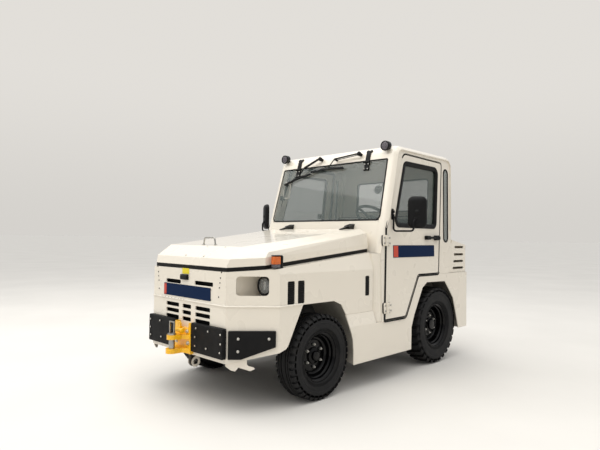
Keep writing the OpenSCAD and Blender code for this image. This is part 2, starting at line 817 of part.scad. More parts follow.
mirror_mid = [-880, 901, 1354];
mirror_turn = 29;
handle_z = 1152;
module door_fittings() {
    // Lever handle with a round rear end
    on_side() translate([-1568, up_side(handle_z), seat_gap]) {
        cylinder(r = 17, h = 34);
        translate([0, -12, 20]) cube([228, 24, 14]);
        translate([190, -15, 0]) cube([44, 30, 34]);
    }
    translate(mirror_mid) rotate([0, 0, mirror_turn]) rotate([90, 0, 90]) translate([0, 0, -14])
        linear_extrude(height = 28) round_rect(150, 258, 28);
    // Stub between the mirror head and its arm
    translate(mirror_mid) rotate([0, 0, mirror_turn]) translate([13, -38, -104]) cube([44, 24, 30]);
    on_side() translate([-838, up_side(1300), seat_gap]) cube([22, 84, 26]);
    translate([-827, 0, 1222]) rotate([90, 0, 90])
        wire_path([
            [side_y(1222) + 12, 90], [side_y(1222) + 12, 0], [mirror_mid[1], 0], [mirror_mid[1], 60]
        ], 7);
}

module door_fittings_left() {
    color("black") place() door_fittings();
}

module door_fittings_right() {
    color("black") place() mirror([0, 1, 0]) door_fittings();
}

module door_hinges() {
    color("ivory") place() both_sides() on_side() for (z = hinge_z)
        translate([hinge_x, up_side(z), hinge_out]) {
            rotate([90, 0, 0]) cylinder(r = door_pin_d / 2, h = hinge_h, center = true);
            for (s = [-1, 1]) translate([0, s * hinge_h / 3, 0]) {
                rotate([90, 0, 0]) cylinder(r = 11, h = hinge_h / 3, center = true);
                translate([0, -hinge_h / 6, -hinge_out + seat_gap]) cube([42, hinge_h / 3, 10]);
            }
            translate([14, -hinge_h / 2, -hinge_out + seat_gap]) cube([28, hinge_h, 10]);
        }
}

// Hood

// Height of the hood's own edges over the seam: front lip, side lip, side, top
function hood_corners(i) = let(
    base = seal_h - (i > 0 ? over : 0),
    drop = i
) [
    [hood_front_x - i, hood_front_half - i, seam_z(hood_front_x) + base],
    [hood_corner_x - i, hood_half - i, seam_z(hood_corner_x) + base],
    [hood_rear_x + i, hood_half - i, seam_z(hood_rear_x) + base],
    [hood_front_x - 19 - i, hood_front_half + 15 - i, 991 - drop],
    [hood_corner_x - 2 - i, hood_half - i, 1004 - drop],
    [hood_rear_x + i, hood_half - i, 1092 - drop],
    [hood_corner_x - 40 - i, hood_half - 12 - i, 1040 - drop],
    [hood_rear_x + i, hood_half - 12 - i, 1181 - drop],
    [540 - i, 433 - i, 1071 - drop],
    [hood_rear_x + i, 515 - i, 1215 - drop]
];
module hood_form(i) {
    corners = hood_corners(i);
    solid_on(concat(corners, [for (c = corners) [c[0], -c[1], c[2]]]));
}

module hood() {
    color("ivory") place() difference() {
        hood_form(0);
        hood_form(hood_t);
    }
}

handle_x = 486;
handle_half = 72;
handle_w = 12;
function hood_top_z(x) = 1071 + (540 - x) * (1215 - 1071) / (540 - hood_rear_x);
module hood_handle() {
    foot_z = hood_top_z(handle_x - handle_w / 2) + seat_gap;
    color("silver") place() translate([handle_x, 0, foot_z]) rotate([90, 0, 90])
        hoop(handle_half, handle_half - 12, 52, handle_w);
}

// Hood hinges: brackets on the cowl, leaves on the hood, pins across
hinge_axis = [-668, 1232];
hood_hinge_y = 361;
hood_hinge_w = 60;
module hood_hinges() {
    color("black") place() both_sides() translate([0, hood_hinge_y, 0]) {
        for (s = [-1, 1]) slab_y(s * 22 - 8, s * 22 + 8) {
            translate(hinge_axis) circle(14);
            polygon([
                [hinge_axis[0] + 2, hinge_axis[1] + 14], [hinge_axis[0] - 6, hinge_axis[1] - 13],
                [screen_x(1205) + seat_gap, 1205], [screen_x(1262) + seat_gap, 1262]
            ]);
        }
        translate([hinge_axis[0], 0, hinge_axis[1]]) rotate([90, 0, 0])
            cylinder(d = hood_pin_d, h = hood_hinge_w, center = true);
        slab_y(-14, 14) polygon([
            [screen_x(1205) + 10, 1205], [screen_x(1262) + 10, 1262], [screen_x(1262) + seat_gap, 1262],
            [screen_x(1205) + seat_gap, 1205]
        ]);
    }
}

module hood_hinge_leaves() {
    color("black") place() both_sides() translate([0, hood_hinge_y, 0]) difference() {
        slab_y(-13, 13) {
            translate(hinge_axis) circle(13);
            polygon([
                [hinge_axis[0], hinge_axis[1] + 13], [hinge_axis[0], hinge_axis[1] - 6],
                [hood_rear_x + 4, hood_top_z(hood_rear_x + 4) + seat_gap],
                [hood_rear_x + 58, hood_top_z(hood_rear_x + 58) + seat_gap],
                [hood_rear_x + 58, hood_top_z(hood_rear_x + 58) + 7],
                [hood_rear_x + 10, hood_top_z(hood_rear_x + 10) + 14]
            ]);
        }
        translate([hinge_axis[0], 0, hinge_axis[1]]) rotate([90, 0, 0])
            cylinder(r = hood_pin_d / 2 + pin_fit, h = hood_hinge_w, center = true);
    }
}

// Seal under the rim of the hood, on the flanges of the front body
module hood_seal() {
    color("black") place() difference() {
        linear_extrude(height = huge) hood_plan(3);
        linear_extrude(height = huge) hood_plan(16);
        slab_y(-huge, huge) polygon([
            [1000, 0], [1000, seam_z(1000) + seat_gap], [-1000, seam_z(-1000) + seat_gap], [-1000, 0]
        ]);
        slab_y(-huge, huge) polygon([
            [1000, huge + 1], [1000, seam_z(1000) + seal_h - seat_gap],
            [-1000, seam_z(-1000) + seal_h - seat_gap], [-1000, huge + 1]
        ]);
        // Open at the cowl
        translate([hood_rear_x - over, -hood_half + flange_w, 0])
            cube([over + flange_w, 2 * (hood_half - flange_w), huge]);
    }
}

// Bumpers

bumper_t = 30;
bumper_inner_y = 100;
bumper_z = [352, 548];
corner_bumper = [[20, 534], [326, 534], [326, 432], [104, 353], [20, 353]];
module rubber_bumpers() {
    color("black") place() both_sides() {
        slab_x(nose_x + seat_gap, nose_x + bumper_t)
            translate([(bumper_inner_y + nose_half + 12) / 2, (bumper_z[0] + bumper_z[1]) / 2])
                round_rect(nose_half + 12 - bumper_inner_y, bumper_z[1] - bumper_z[0], 8);
        on_chamfer() translate([0, 0, seat_gap]) linear_extrude(height = 20) polygon(corner_bumper);
        slab_x(-tail_x - bumper_t, -tail_x - seat_gap)
            translate([(bumper_inner_y + skirt_half - 12) / 2, (bumper_z[0] + bumper_z[1]) / 2])
                round_rect(skirt_half - 12 - bumper_inner_y, bumper_z[1] - bumper_z[0], 8);
    }
}

// Couplings: local X points away from the vehicle, the back plate starts at local X = 0
lug_t = 31;
lug_end_r = [41, 35];
lug_root = 88;
plate_half = 96;
plate_z = [330, 500];
strip_w = 26;
strip_h = 41;
ear_mid_y = -38;
ear_r = 24;
upper_lug_z = jaw_z + jaw_h;
coupling_top = upper_lug_z + lug_t;
function pin_station(reach) = reach - lug_end_r[0];

// Outline of a lug from the plate to its round end
module lug(reach, end_r) {
    root = front_plate_t - 1;
    polygon(concat(
        [[root, -lug_root], [root, lug_root], [root + 34, lug_end_r[0]]],
        arc([pin_station(reach), 0], end_r, 80, -80, 12),
        [[root + 34, -lug_end_r[0]]]
    ));
}

module coupling(reach) {
    difference() {
        union() {
            translate([0, -plate_half, plate_z[0]])
                cube([front_plate_t, 2 * plate_half, plate_z[1] - plate_z[0]]);
            for (y = [-plate_half, plate_half - strip_w]) translate([0, y, plate_z[1] - 1])
                cube([front_plate_t, strip_w, strip_h + 1]);
            translate([0, 0, jaw_z - lug_t]) linear_extrude(height = lug_t) lug(reach, lug_end_r[0]);
            translate([0, 0, upper_lug_z]) linear_extrude(height = lug_t) lug(reach, lug_end_r[1]);
            // Ear of the pin lock
            slab_x(front_plate_t - 1, front_plate_t + 13) translate([ear_mid_y, 0]) {
                translate([-ear_r, coupling_top - 1])
                    square([2 * ear_r, plate_z[1] + strip_h - ear_r - coupling_top + 1]);
                translate([0, plate_z[1] + strip_h - ear_r]) circle(ear_r);
            }
        }
        translate([pin_station(reach), 0, 0]) cylinder(r = coupling_pin_d / 2 + seat_gap, h = huge);
    }
}

module coupling_pin(reach) {
    translate([pin_station(reach), 0, 0]) {
        translate([0, 0, jaw_z - lug_t + 4]) cylinder(d = coupling_pin_d, h = coupling_top - jaw_z + lug_t);
        translate([0, 0, coupling_top + seat_gap]) cylinder(d = coupling_pin_d + 16, h = 10);
        translate([0, 0, coupling_top + 8]) rotate([90, 0, 90]) hoop(22, 24, 84, 8);
    }
}

front_plate_x = nose_x + seat_gap;
front_plate_t = 28;
module at_front_coupling() {
    place() translate([front_plate_x, 0, 0]) children();
}

module at_rear_coupling() {
    place() translate([-tail_x - seat_gap, 0, 0]) rotate([0, 0, 180]) children();
}

module couplings() {
    color("gold") {
        at_front_coupling() coupling(coupling_x - front_plate_x);
        at_rear_coupling() coupling(rear_reach - seat_gap);
    }
}

module front_coupling_pin() {
    color("silver") at_front_coupling() coupling_pin(coupling_x - front_plate_x);
}

module rear_coupling_pin() {
    color("silver") at_rear_coupling() coupling_pin(rear_reach - seat_gap);
}

// Lamps

module headlamps() {
    color("silver") place() both_sides() translate([lamp_wall_x + seat_gap, lamp_mid[0], lamp_mid[1]])
        rotate([0, 90, 0]) difference() {
            cylinder(d = headlamp_d, h = lamp_depth);
            translate([0, 0, lamp_depth - 9]) cylinder(d = headlamp_d - 26, h = 20);
        }
}

turn_lamp = [366, 622];
module turn_lamps() {
    color("orange") place() both_sides()
        translate([turn_lamp[0], turn_lamp[1], seam_z(turn_lamp[0]) + seat_gap]) cube([84, 38, 84]);
}

module tail_lamps() {
    color("red") place() both_sides() for (k = [0:2])
        translate([-tail_x - 14 - seat_gap, 520 + 60 * k, 700]) cube([14, 54, 90]);
}

module side_vents() {
    color("black") place() both_sides() for (v = vent_x) {
        slab_y(fender_half - plate_t + 1, fender_half - 5) vent_outline(v, seat_gap);
        for (k = [0:9])
            slab_y(fender_half - 5.5, fender_half + 1)
                translate([v[1] + 4, vent_z[0] + 10 + k * 14]) square([v[0] - v[1] - 8, 6]);
    }
}

// Inside of the cab

module dashboard() {
    color("dimgray") place() {
        slab_y(-600, 600)
            polygon([
                [firewall_x - cowl_t - seat_gap, 760], [firewall_x - cowl_t - seat_gap, 1020],
                [screen_x(1200) - 16, 1200],
                [-850, 1195], [-880, 1120], [-820, 900], [-800, 760]
            ]);
        column();
    }
}

column_foot = [-800, 370, 1060];
column_len = 300;
module column() {
    translate(column_foot) rotate([0, -column_tilt, 0]) cylinder(r = 26, h = column_len);
}

module steering_wheel() {
    color("black") place() translate(column_foot) rotate([0, -column_tilt, 0])
        translate([0, 0, column_len + seat_gap]) {
            rotate_extrude() translate([steering_wheel_d / 2 - 13, 40]) circle(13);
            cylinder(r = 38, h = 34);
            for (a = [90, 210, 330]) rotate([0, 0, a]) translate([20, -12, 14]) rotate([0, -8, 0])
                cube([steering_wheel_d / 2 - 40, 24, 10]);
        }
}

seat_y = 340;
module seats() {
    color("black") place() both_sides() {
        translate([-1560, seat_y - 230, riser_z + floor_t + seat_gap]) cube([440, 460, 120]);
        translate([-1596, seat_y - 230, riser_z + floor_t + 80]) rotate([0, -10, 0]) cube([90, 460, 520]);
    }
}

module engine_block() {
    color("gray") place() translate([-480, -240, rail_z[1] + seat_gap]) cube([760, 480, 370]);
}

// Axles and wheels

spring_y = [238, 282];
// Leaf spring in side view: its middle is at local Y = 0, its ends rise and hang on shackles
leaf_t = 26;
shackle_w = 30;
module leaf_spring(rise, half, hang) {
    r = (pow(half, 2) + pow(rise, 2)) / (2 * rise);
    sweep = asin(half / r);
    polygon(concat(
        arc([0, r], r, -90 - sweep, -90 + sweep, 12),
        arc([0, r], r - leaf_t, -90 + sweep, -90 - sweep, 12)
    ));
    for (x = [-half, half - shackle_w]) translate([x, rise]) square([shackle_w, hang - rise]);
}

beam_half = 36;
module front_axle() {
    color("dimgray") place() {
        translate([-beam_half, -kingpin_y + 24, front_r - beam_half])
            cube([2 * beam_half, 2 * kingpin_y - 48, 2 * beam_half]);
        both_sides() translate([0, kingpin_y, front_r - 40]) cylinder(r = 34, h = 80);
        both_sides() translate([0, kingpin_y, front_r - 74]) cylinder(d = kingpin_d, h = 148);
        foot = front_r + beam_half - 1;
        both_sides() slab_y(spring_y[0], spring_y[1]) translate([0, foot])
            leaf_spring(36, 330, rail_z[0] - seat_gap - foot);
    }
}

kingpin_y = wheel_y - kingpin_offset;
spindle_start = kingpin_y + 60;
module knuckle() {
    difference() {
        union() {
            for (z = [front_r - 72, front_r + 42]) translate([0, kingpin_y, z]) cylinder(r = 30, h = 30);
            translate([-30, kingpin_y, front_r - 72]) cube([60, 60, 30]);
            translate([-30, kingpin_y, front_r + 42]) cube([60, 60, 30]);
            translate([-30, kingpin_y + 40, front_r - 72]) cube([60, 20, 144]);
            translate([0, spindle_start - 1, front_r]) rotate([-90, 0, 0])
                cylinder(
                    d = spindle_d, h = wheel_y + spindle_tip(front_edge, front_dish) - spindle_start + 1
                );
        }
        translate([0, kingpin_y, 0]) cylinder(r = kingpin_d / 2 + pin_fit, h = huge);
    }
}

module knuckle_left() {
    color("dimgray") place() knuckle();
}

module knuckle_right() {
    color("dimgray") place() mirror([0, 1, 0]) knuckle();
}

axle_end = wheel_y - 76;
axle_tube_r = 50;
module rear_axle() {
    color("dimgray") place() translate([rear_axle_x, 0, rear_r]) {
        rotate([90, 0, 0]) cylinder(r = axle_tube_r, h = 2 * axle_end, center = true);
        sphere(r = 148);
        both_sides() translate([0, axle_end - 1, 0]) rotate([-90, 0, 0])
            cylinder(d = spindle_d, h = wheel_y + spindle_tip(rear_edge, rear_dish) - axle_end + 1);
        foot = -axle_tube_r - leaf_t + 1;
        both_sides() slab_y(spring_y[0], spring_y[1]) translate([0, foot])
            leaf_spring(60, 380, rail_z[0] - seat_gap - rear_r - foot);
    }
}

// Wheel about local Z, which points outwards; local Z = 0 is its middle plane
rim_inset = 22;
front_edge = front_tyre_w / 2 - rim_inset;
rear_edge = rear_tyre_w / 2 - rim_inset;
function spindle_tip(edge, dish) = edge - dish + 6;
module rim(flange_d, edge, dish, nuts) {
    flange_r = flange_d / 2;
    barrel_r = flange_r - 34;
    disc_z = edge - dish;
    difference() {
        union() {
            rotate_extrude() polygon([
                [barrel_r, -edge], [flange_r, -edge], [flange_r, -edge + 7], [flange_r - 14, -edge + 9],
                [flange_r - 16, -edge + 34], [barrel_r + 6, -edge + 44], [barrel_r + 6, edge - 44],
                [flange_r - 16, edge - 34], [flange_r - 14, edge - 9], [flange_r, edge - 7],
                [flange_r, edge], [flange_r - 8, edge], [flange_r - 22, edge - 10],
                [flange_r - 24, edge - 30], [barrel_r, edge - 38]
            ]);
            translate([0, 0, disc_z - 10]) cylinder(r = barrel_r + 2, h = 10);
            translate([0, 0, disc_z - 18]) cylinder(r = 56, h = 32);
            for (k = [0:nuts - 1]) rotate([0, 0, k * 360 / nuts + 12])
                translate([nut_circle_d / 2, 0, disc_z - 1]) cylinder(r = 12, h = 17, $fn = 6);
        }
        translate([0, 0, disc_z - 19]) cylinder(r = spindle_d / 2 + pin_fit, h = 19 + 8);
    }
}

// Share of the pitch of a tread that a groove takes
groove_share = 0.38;
// Distance from the middle plane of a tyre at which its grooves end
groove_end = 20;
module tyre(d, width, flange_d, grooves, depth) {
    r = d / 2;
    half = width / 2;
    edge = half - rim_inset;
    bead_r = flange_d / 2;
    side = [
        [bead_r - 14 + seat_gap, edge - 9 - seat_gap], [bead_r + seat_gap, edge - 7 - seat_gap],
        [bead_r + seat_gap, edge], [bead_r + 10, half - 12], [bead_r + 26, half - 5],
        [r - 62, half], [r - 28, half - 3], [r - 8, half - 15], [r, half - 32]
    ];
    w = groove_share * PI * d / grooves;
    difference() {
        rotate_extrude()
            polygon(concat(side, [for (i = [len(side) - 1:-1:0]) [side[i][0], -side[i][1]]]));
        for (s = [0, 1], k = [0:grooves - 1]) mirror([0, 0, s])
            rotate([0, 0, (k + 0.25 + s / 2) * 360 / grooves])
                translate([r - depth, -w / 2, groove_end]) cube([2 * depth, w, half]);
    }
}

module at_front_wheel() {
    place() translate([0, wheel_y, front_r]) rotate([-90, 0, 0]) children();
}

module at_rear_wheel() {
    place() translate([rear_axle_x, wheel_y, rear_r]) rotate([-90, 0, 0]) children();
}

module front_rim_left() {
    color("black") at_front_wheel() rim(front_flange_d, front_edge, front_dish, 6);
}

module front_rim_right() {
    color("black") mirror([0, 1, 0]) at_front_wheel() rim(front_flange_d, front_edge, front_dish, 6);
}

module front_tyre_left() {
    color("black") at_front_wheel()
        tyre(front_tyre_d, front_tyre_w, front_flange_d, front_grooves, front_groove_t);
}

module front_tyre_right() {
    color("black") mirror([0, 1, 0]) at_front_wheel()
        tyre(front_tyre_d, front_tyre_w, front_flange_d, front_grooves, front_groove_t);
}

module rear_rim_left() {
    color("black") at_rear_wheel() rim(rear_flange_d, rear_edge, rear_dish, 6);
}

module rear_rim_right() {
    color("black") mirror([0, 1, 0]) at_rear_wheel() rim(rear_flange_d, rear_edge, rear_dish, 6);
}

module rear_tyre_left() {
    color("black") at_rear_wheel()
        tyre(rear_tyre_d, rear_tyre_w, rear_flange_d, rear_grooves, rear_groove_t);
}

module rear_tyre_right() {
    color("black") mirror([0, 1, 0]) at_rear_wheel()
        tyre(rear_tyre_d, rear_tyre_w, rear_flange_d, rear_grooves, rear_groove_t);
}

chassis_frame();
front_shell();
lower_body();
wheel_liners();
rear_deck();
cab_frame();
cab_cowl();
cab_roof();
cab_floor();
cab_glasses();
windshield_fittings();
roof_lamps();
door_left();
door_right();
door_glass_left();
door_glass_right();
door_fittings_left();
door_fittings_right();
door_hinges();
hood();
hood_handle();
hood_hinges();
hood_hinge_leaves();
hood_seal();
rubber_bumpers();
couplings();
front_coupling_pin();
rear_coupling_pin();
headlamps();
turn_lamps();
tail_lamps();
side_vents();
dashboard();
steering_wheel();
seats();
engine_block();
front_axle();
rear_axle();
knuckle_left();
knuckle_right();
front_rim_left();
front_rim_right();
front_tyre_left();
front_tyre_right();
rear_rim_left();
rear_rim_right();
rear_tyre_left();
rear_tyre_right();
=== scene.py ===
"""Looks of the airport baggage tug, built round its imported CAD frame.

Metres, +X is the driving direction, +Y the driver's side, +Z up. Helpers that take millimetres
measure X from the front axle, as the part's source does.
"""
import math

import bmesh
import bpy
from mathutils import Matrix, Vector


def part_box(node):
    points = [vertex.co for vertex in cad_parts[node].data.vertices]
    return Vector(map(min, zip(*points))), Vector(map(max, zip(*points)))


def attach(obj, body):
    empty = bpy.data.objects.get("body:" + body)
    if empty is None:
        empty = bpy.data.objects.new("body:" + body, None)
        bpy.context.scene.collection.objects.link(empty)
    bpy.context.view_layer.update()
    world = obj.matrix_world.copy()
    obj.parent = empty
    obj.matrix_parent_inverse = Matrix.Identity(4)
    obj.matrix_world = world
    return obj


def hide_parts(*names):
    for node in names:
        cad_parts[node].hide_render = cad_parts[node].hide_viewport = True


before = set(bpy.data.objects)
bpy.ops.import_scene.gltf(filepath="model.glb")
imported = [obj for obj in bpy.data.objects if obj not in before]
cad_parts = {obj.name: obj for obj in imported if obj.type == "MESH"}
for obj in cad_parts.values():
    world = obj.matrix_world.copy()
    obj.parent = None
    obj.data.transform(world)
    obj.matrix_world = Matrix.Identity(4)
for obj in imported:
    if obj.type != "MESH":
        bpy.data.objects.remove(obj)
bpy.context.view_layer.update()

# Frames of the tug

wheel_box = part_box("front_tyre_left")
AXLE_X = (wheel_box[0].x + wheel_box[1].x) / 2
FRONT_R = wheel_box[1].z / 2
WHEEL_Y = (wheel_box[0].y + wheel_box[1].y) / 2
rear_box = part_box("rear_tyre_left")
REAR_AXLE_X = (rear_box[0].x + rear_box[1].x) / 2
REAR_R = rear_box[1].z / 2

SIDE_LEAN = math.radians(1.6)
DOOR_HALF = 720
SILL_Z = 490
SCREEN_LEAN = math.radians(14.7)
SCREEN_FOOT = (-731, 1291)
REAR_LEAN = math.radians(1.9)
REAR_FOOT = (-1831, 822)
NOSE_X = 672
NOSE_HALF = 443
CORNER_X = 413
FENDER_HALF = 676
REAR_X = -2130
LEFT, RIGHT = 1, -1
SIDES = (("left", LEFT), ("right", RIGHT))
X, Y, Z = (1, 0, 0), (0, 1, 0), (0, 0, 1)


def mm(x, y, z):
    """A place given in millimetres from the front axle."""
    return Vector((AXLE_X + x / 1000, y / 1000, z / 1000))


def axes(origin, ex, ey, ez):
    """Matrix of a local frame, with its axes given as directions."""
    m = Matrix.Identity(4)
    for i, e in enumerate((ex, ey, ez)):
        for j in range(3):
            m[j][i] = e[j]
    m.translation = origin
    return m


def shift(m, x, y, z=0):
    """A local frame moved along its own axes, in millimetres."""
    return m @ Matrix.Translation((x / 1000, y / 1000, z / 1000))


def level(s=LEFT):
    """Whole tug: origin on the floor below the front axle, local Y outwards on a side."""
    return axes(mm(0, 0, 0), X, (0, s, 0), Z)


def on_side(s):
    """Cab side: local X forward, Y up the leaning side, Z outwards from the door's outer face."""
    return axes(
        mm(0, s * DOOR_HALF, SILL_Z),
        X,
        (0, -s * math.sin(SIDE_LEAN), math.cos(SIDE_LEAN)),
        (0, s * math.cos(SIDE_LEAN), math.sin(SIDE_LEAN)),
    )


def up_side(z):
    return (z - SILL_Z) / math.cos(SIDE_LEAN)


def on_screen():
    """Windshield: local X to the left, Y up the glass, Z outwards."""
    return axes(
        mm(SCREEN_FOOT[0], 0, SCREEN_FOOT[1]),
        Y,
        (-math.sin(SCREEN_LEAN), 0, math.cos(SCREEN_LEAN)),
        (math.cos(SCREEN_LEAN), 0, math.sin(SCREEN_LEAN)),
    )


def on_rear():
    """Rear wall of the cab: local X to the left, Y up, Z outwards, which is to the rear."""
    return axes(
        mm(REAR_FOOT[0], 0, REAR_FOOT[1]),
        Y,
        (-math.sin(REAR_LEAN), 0, math.cos(REAR_LEAN)),
        (-math.cos(REAR_LEAN), 0, -math.sin(REAR_LEAN)),
    )


def on_chamfer(s):
    """Chamfered corner: local X from the front panel to the fender, Y up, Z outwards."""
    along = Vector((CORNER_X - NOSE_X, s * (FENDER_HALF - NOSE_HALF), 0)).normalized()
    return axes(mm(NOSE_X, s * NOSE_HALF, 0), along, Z, (s * along.y, -s * along.x, 0))


def facing(x, y, z, direction):
    """Frame with its local Z along a direction and its local Y as far up as it can be."""
    ez = Vector(direction).normalized()
    up = Vector(Z if abs(ez.z) < 0.99 else (-1, 0, 0))
    ex = up.cross(ez).normalized()
    return axes(mm(x, y, z), ex, ez.cross(ex), ez)


def at_wheel(front, s):
    """Wheel: local Z outwards along the axle, local Y up, origin in the middle of the tyre."""
    origin = Vector((AXLE_X if front else REAR_AXLE_X, s * WHEEL_Y, FRONT_R if front else REAR_R))
    return axes(origin, (-s, 0, 0), Z, (0, s, 0))


# Mesh tools, in millimetres of a local frame


def quads(rows, n, closed=False):
    """Faces between rows of n points each. The last row meets the first if closed."""
    faces = []
    for i in range(rows if closed else rows - 1):
        i2 = (i + 1) % rows
        for j in range(n):
            j2 = (j + 1) % n
            faces.append([i * n + j, i * n + j2, i2 * n + j2, i2 * n + j])
    return faces


def outward_ways(path, closed=True):
    """Each point of an anticlockwise path, and its way outwards, which is longer in a corner."""
    n = len(path)
    result = []
    for i in range(n):
        p = Vector(path[i])
        a = Vector(path[i - 1]) if closed or i > 0 else None
        b = Vector(path[(i + 1) % n]) if closed or i < n - 1 else None
        u = (p - a).normalized() if a is not None else (b - p).normalized()
        v = (b - p).normalized() if b is not None else u
        na, nb = Vector((u.y, -u.x)), Vector((v.y, -v.x))
        out = (na + nb).normalized()
        result.append((p, out / max(0.3, out.dot(na))))
    return result


class Shape:
    """Collects closed shells in one mesh."""

    def __init__(self):
        self.bm = bmesh.new()

    def shell(self, m, points, faces):
        verts = [self.bm.verts.new(m @ Vector([c / 1000 for c in p])) for p in points]
        for f in faces:
            self.bm.faces.new([verts[i] for i in f])

    def stack(self, m, loops):
        """Joins outlines of equally many points, each at its own height, and closes both ends."""
        n, k = len(loops[0][0]), len(loops)
        points = [(x, y, z) for outline, z in loops for x, y in outline]
        ends = [list(range(n))[::-1], [i + n * (k - 1) for i in range(n)]]
        self.shell(m, points, ends + quads(k, n))

    def prism(self, m, outline, z0, z1, chamfer=0):
        """An outline between two local heights, with its upper edge chamfered if asked."""
        loops = [(outline, z0), (outline, z1 - chamfer)]
        if chamfer:
            loops.append((inset(outline, chamfer), z1))
        self.stack(m, loops)

    def box(self, m, x0, x1, y0, y1, z0, z1, chamfer=0):
        self.prism(m, [(x0, y0), (x1, y0), (x1, y1), (x0, y1)], z0, z1, chamfer)

    def lathe(self, m, profile, steps=32, closed=False):
        """Turns a profile of (radius, height) about the local Z axis."""
        rows, points = [], []
        for r, z in profile:
            if r < 1e-6:
                rows.append([len(points)] * steps)
                points.append((0, 0, z))
            else:
                start = len(points)
                for i in range(steps):
                    a = 2 * math.pi * i / steps
                    points.append((r * math.cos(a), r * math.sin(a), z))
                rows.append(list(range(start, start + steps)))
        faces = []
        spans = len(rows) if closed else len(rows) - 1
        for k in range(spans):
            a, b = rows[k], rows[(k + 1) % len(rows)]
            for i in range(steps):
                j = (i + 1) % steps
                f = list(dict.fromkeys([a[i], a[j], b[j], b[i]]))
                if len(f) > 2:
                    faces.append(f)
        if not closed:
            for row, flip in ((rows[0], True), (rows[-1], False)):
                if row[0] != row[1]:
                    faces.append(row[::-1] if flip else row)
        self.shell(m, points, faces)

    def sweep(self, m, path, profile, closed=True):
        """Carries a profile of (outwards, height) along an outline of the local XY plane."""
        n, k = len(path), len(profile)
        ways = outward_ways(path, closed)
        points = [(p.x + out.x * w, p.y + out.y * w, z) for p, out in ways for w, z in profile]
        faces = quads(n, k, closed)
        if not closed:
            faces.append(list(range(k)))
            faces.append([(n - 1) * k + j for j in range(k)][::-1])
        self.shell(m, points, faces)

    def tube(self, m, path, radius, steps=10, closed=False):
        """A round bar along points of the local frame."""
        path = [Vector(p) for p in path]
        n = len(path)
        tangent = []
        for i in range(n):
            a = path[i - 1] if i > 0 or closed else path[i]
            b = path[(i + 1) % n] if i < n - 1 or closed else path[i]
            tangent.append((b - a).normalized())
        side = tangent[0].orthogonal().normalized()
        points = []
        for i in range(n):
            side = (side - tangent[i] * side.dot(tangent[i])).normalized()
            other = tangent[i].cross(side)
            for j in range(steps):
                a = 2 * math.pi * j / steps
                points.append(tuple(path[i] + (side * math.cos(a) + other * math.sin(a)) * radius))
        faces = quads(n, steps, closed)
        if not closed:
            faces.append(list(range(steps))[::-1])
            faces.append([(n - 1) * steps + j for j in range(steps)])
        self.shell(m, points, faces)

    def hex_bolt(self, m, r, h, washer=0):
        """A hexagon head with a chamfered top on a washer."""
        z = 0
        if washer:
            self.lathe(m, [(washer, 0), (washer, 2), (washer - 1, 2.6), (r * 0.5, 2.6)], 20)
            z = 2.4
        angles = [math.radians(60 * i + 15) for i in range(6)]
        self.prism(m, [(r * math.cos(a), r * math.sin(a)) for a in angles], z, z + h, chamfer=r * 0.12)

    def dome_bolt(self, m, r, h):
        """A round head bolt."""
        profile = [(1, 0), (1, 0.35), (0.86, 0.75), (0.5, 1), (0.3, 1), (0.28, 0.6), (0, 0.6)]
        self.lathe(m, [(r * a, h * b) for a, b in profile], 20)


def inset(outline, d):
    """The outline moved inwards. It runs anticlockwise."""
    return [(p.x - out.x * d, p.y - out.y * d) for p, out in outward_ways(outline)]


def rounded(outline, radii, steps=5):
    """An anticlockwise outline with round corners."""
    n = len(outline)
    result = []
    for i in range(n):
        r = radii[i] if isinstance(radii, (list, tuple)) else radii
        p, a, b = (Vector(outline[k % n]) for k in (i, i - 1, i + 1))
        u, v = (a - p).normalized(), (b - p).normalized()
        half = math.acos(max(-1, min(1, u.dot(v)))) / 2
        middle = p + (u + v).normalized() * r / math.sin(half)
        start = p + u * r / math.tan(half) - middle
        end = p + v * r / math.tan(half) - middle
        a0 = math.atan2(start.y, start.x)
        swing = math.atan2(start.x * end.y - start.y * end.x, start.dot(end))
        for k in range(steps + 1):
            t = a0 + swing * k / steps
            result.append((middle.x + r * math.cos(t), middle.y + r * math.sin(t)))
    return result


def round_rect(x0, x1, y0, y1, r, steps=5):
    return rounded([(x0, y0), (x1, y0), (x1, y1), (x0, y1)], r, steps)


def smooth_path(corners, radius, steps=6):
    """Points along straight runs with round bends, in three dimensions."""
    pts = [Vector(c) for c in corners]
    result = [pts[0]]
    for a, p, b in zip(pts, pts[1:], pts[2:]):
        ra = min(radius, (a - p).length * 0.49, (b - p).length * 0.49)
        s, e = p + (a - p).normalized() * ra, p + (b - p).normalized() * ra
        for k in range(steps + 1):
            t = k / steps
            result.append(s * (1 - t) ** 2 + p * 2 * t * (1 - t) + e * t * t)
    return result + [pts[-1]]


def add_object(name, data):
    obj = bpy.data.objects.new(name, data)
    bpy.context.scene.collection.objects.link(obj)
    return obj


def mesh_object(name, shape):
    mesh = bpy.data.meshes.new(name)
    shape.bm.to_mesh(mesh)
    shape.bm.free()
    return add_object(name, mesh)


def dress(obj, material, body):
    """Gives an object its finish and lets it ride on a body."""
    obj.data.materials.append(material)
    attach(obj, body)


def finish_mesh(name, shape, material, body, sharp=35):
    """Makes a dressed object of a shape. Edges below the sharp angle, in degrees, look smooth."""
    bm = shape.bm
    bmesh.ops.recalc_face_normals(bm, faces=bm.faces)
    for e in bm.edges:
        e.smooth = e.is_manifold and e.calc_face_angle(0) < math.radians(sharp)
    for f in bm.faces:
        f.smooth = True
    obj = mesh_object(name, shape)
    dress(obj, material, body)
    return obj


# Materials


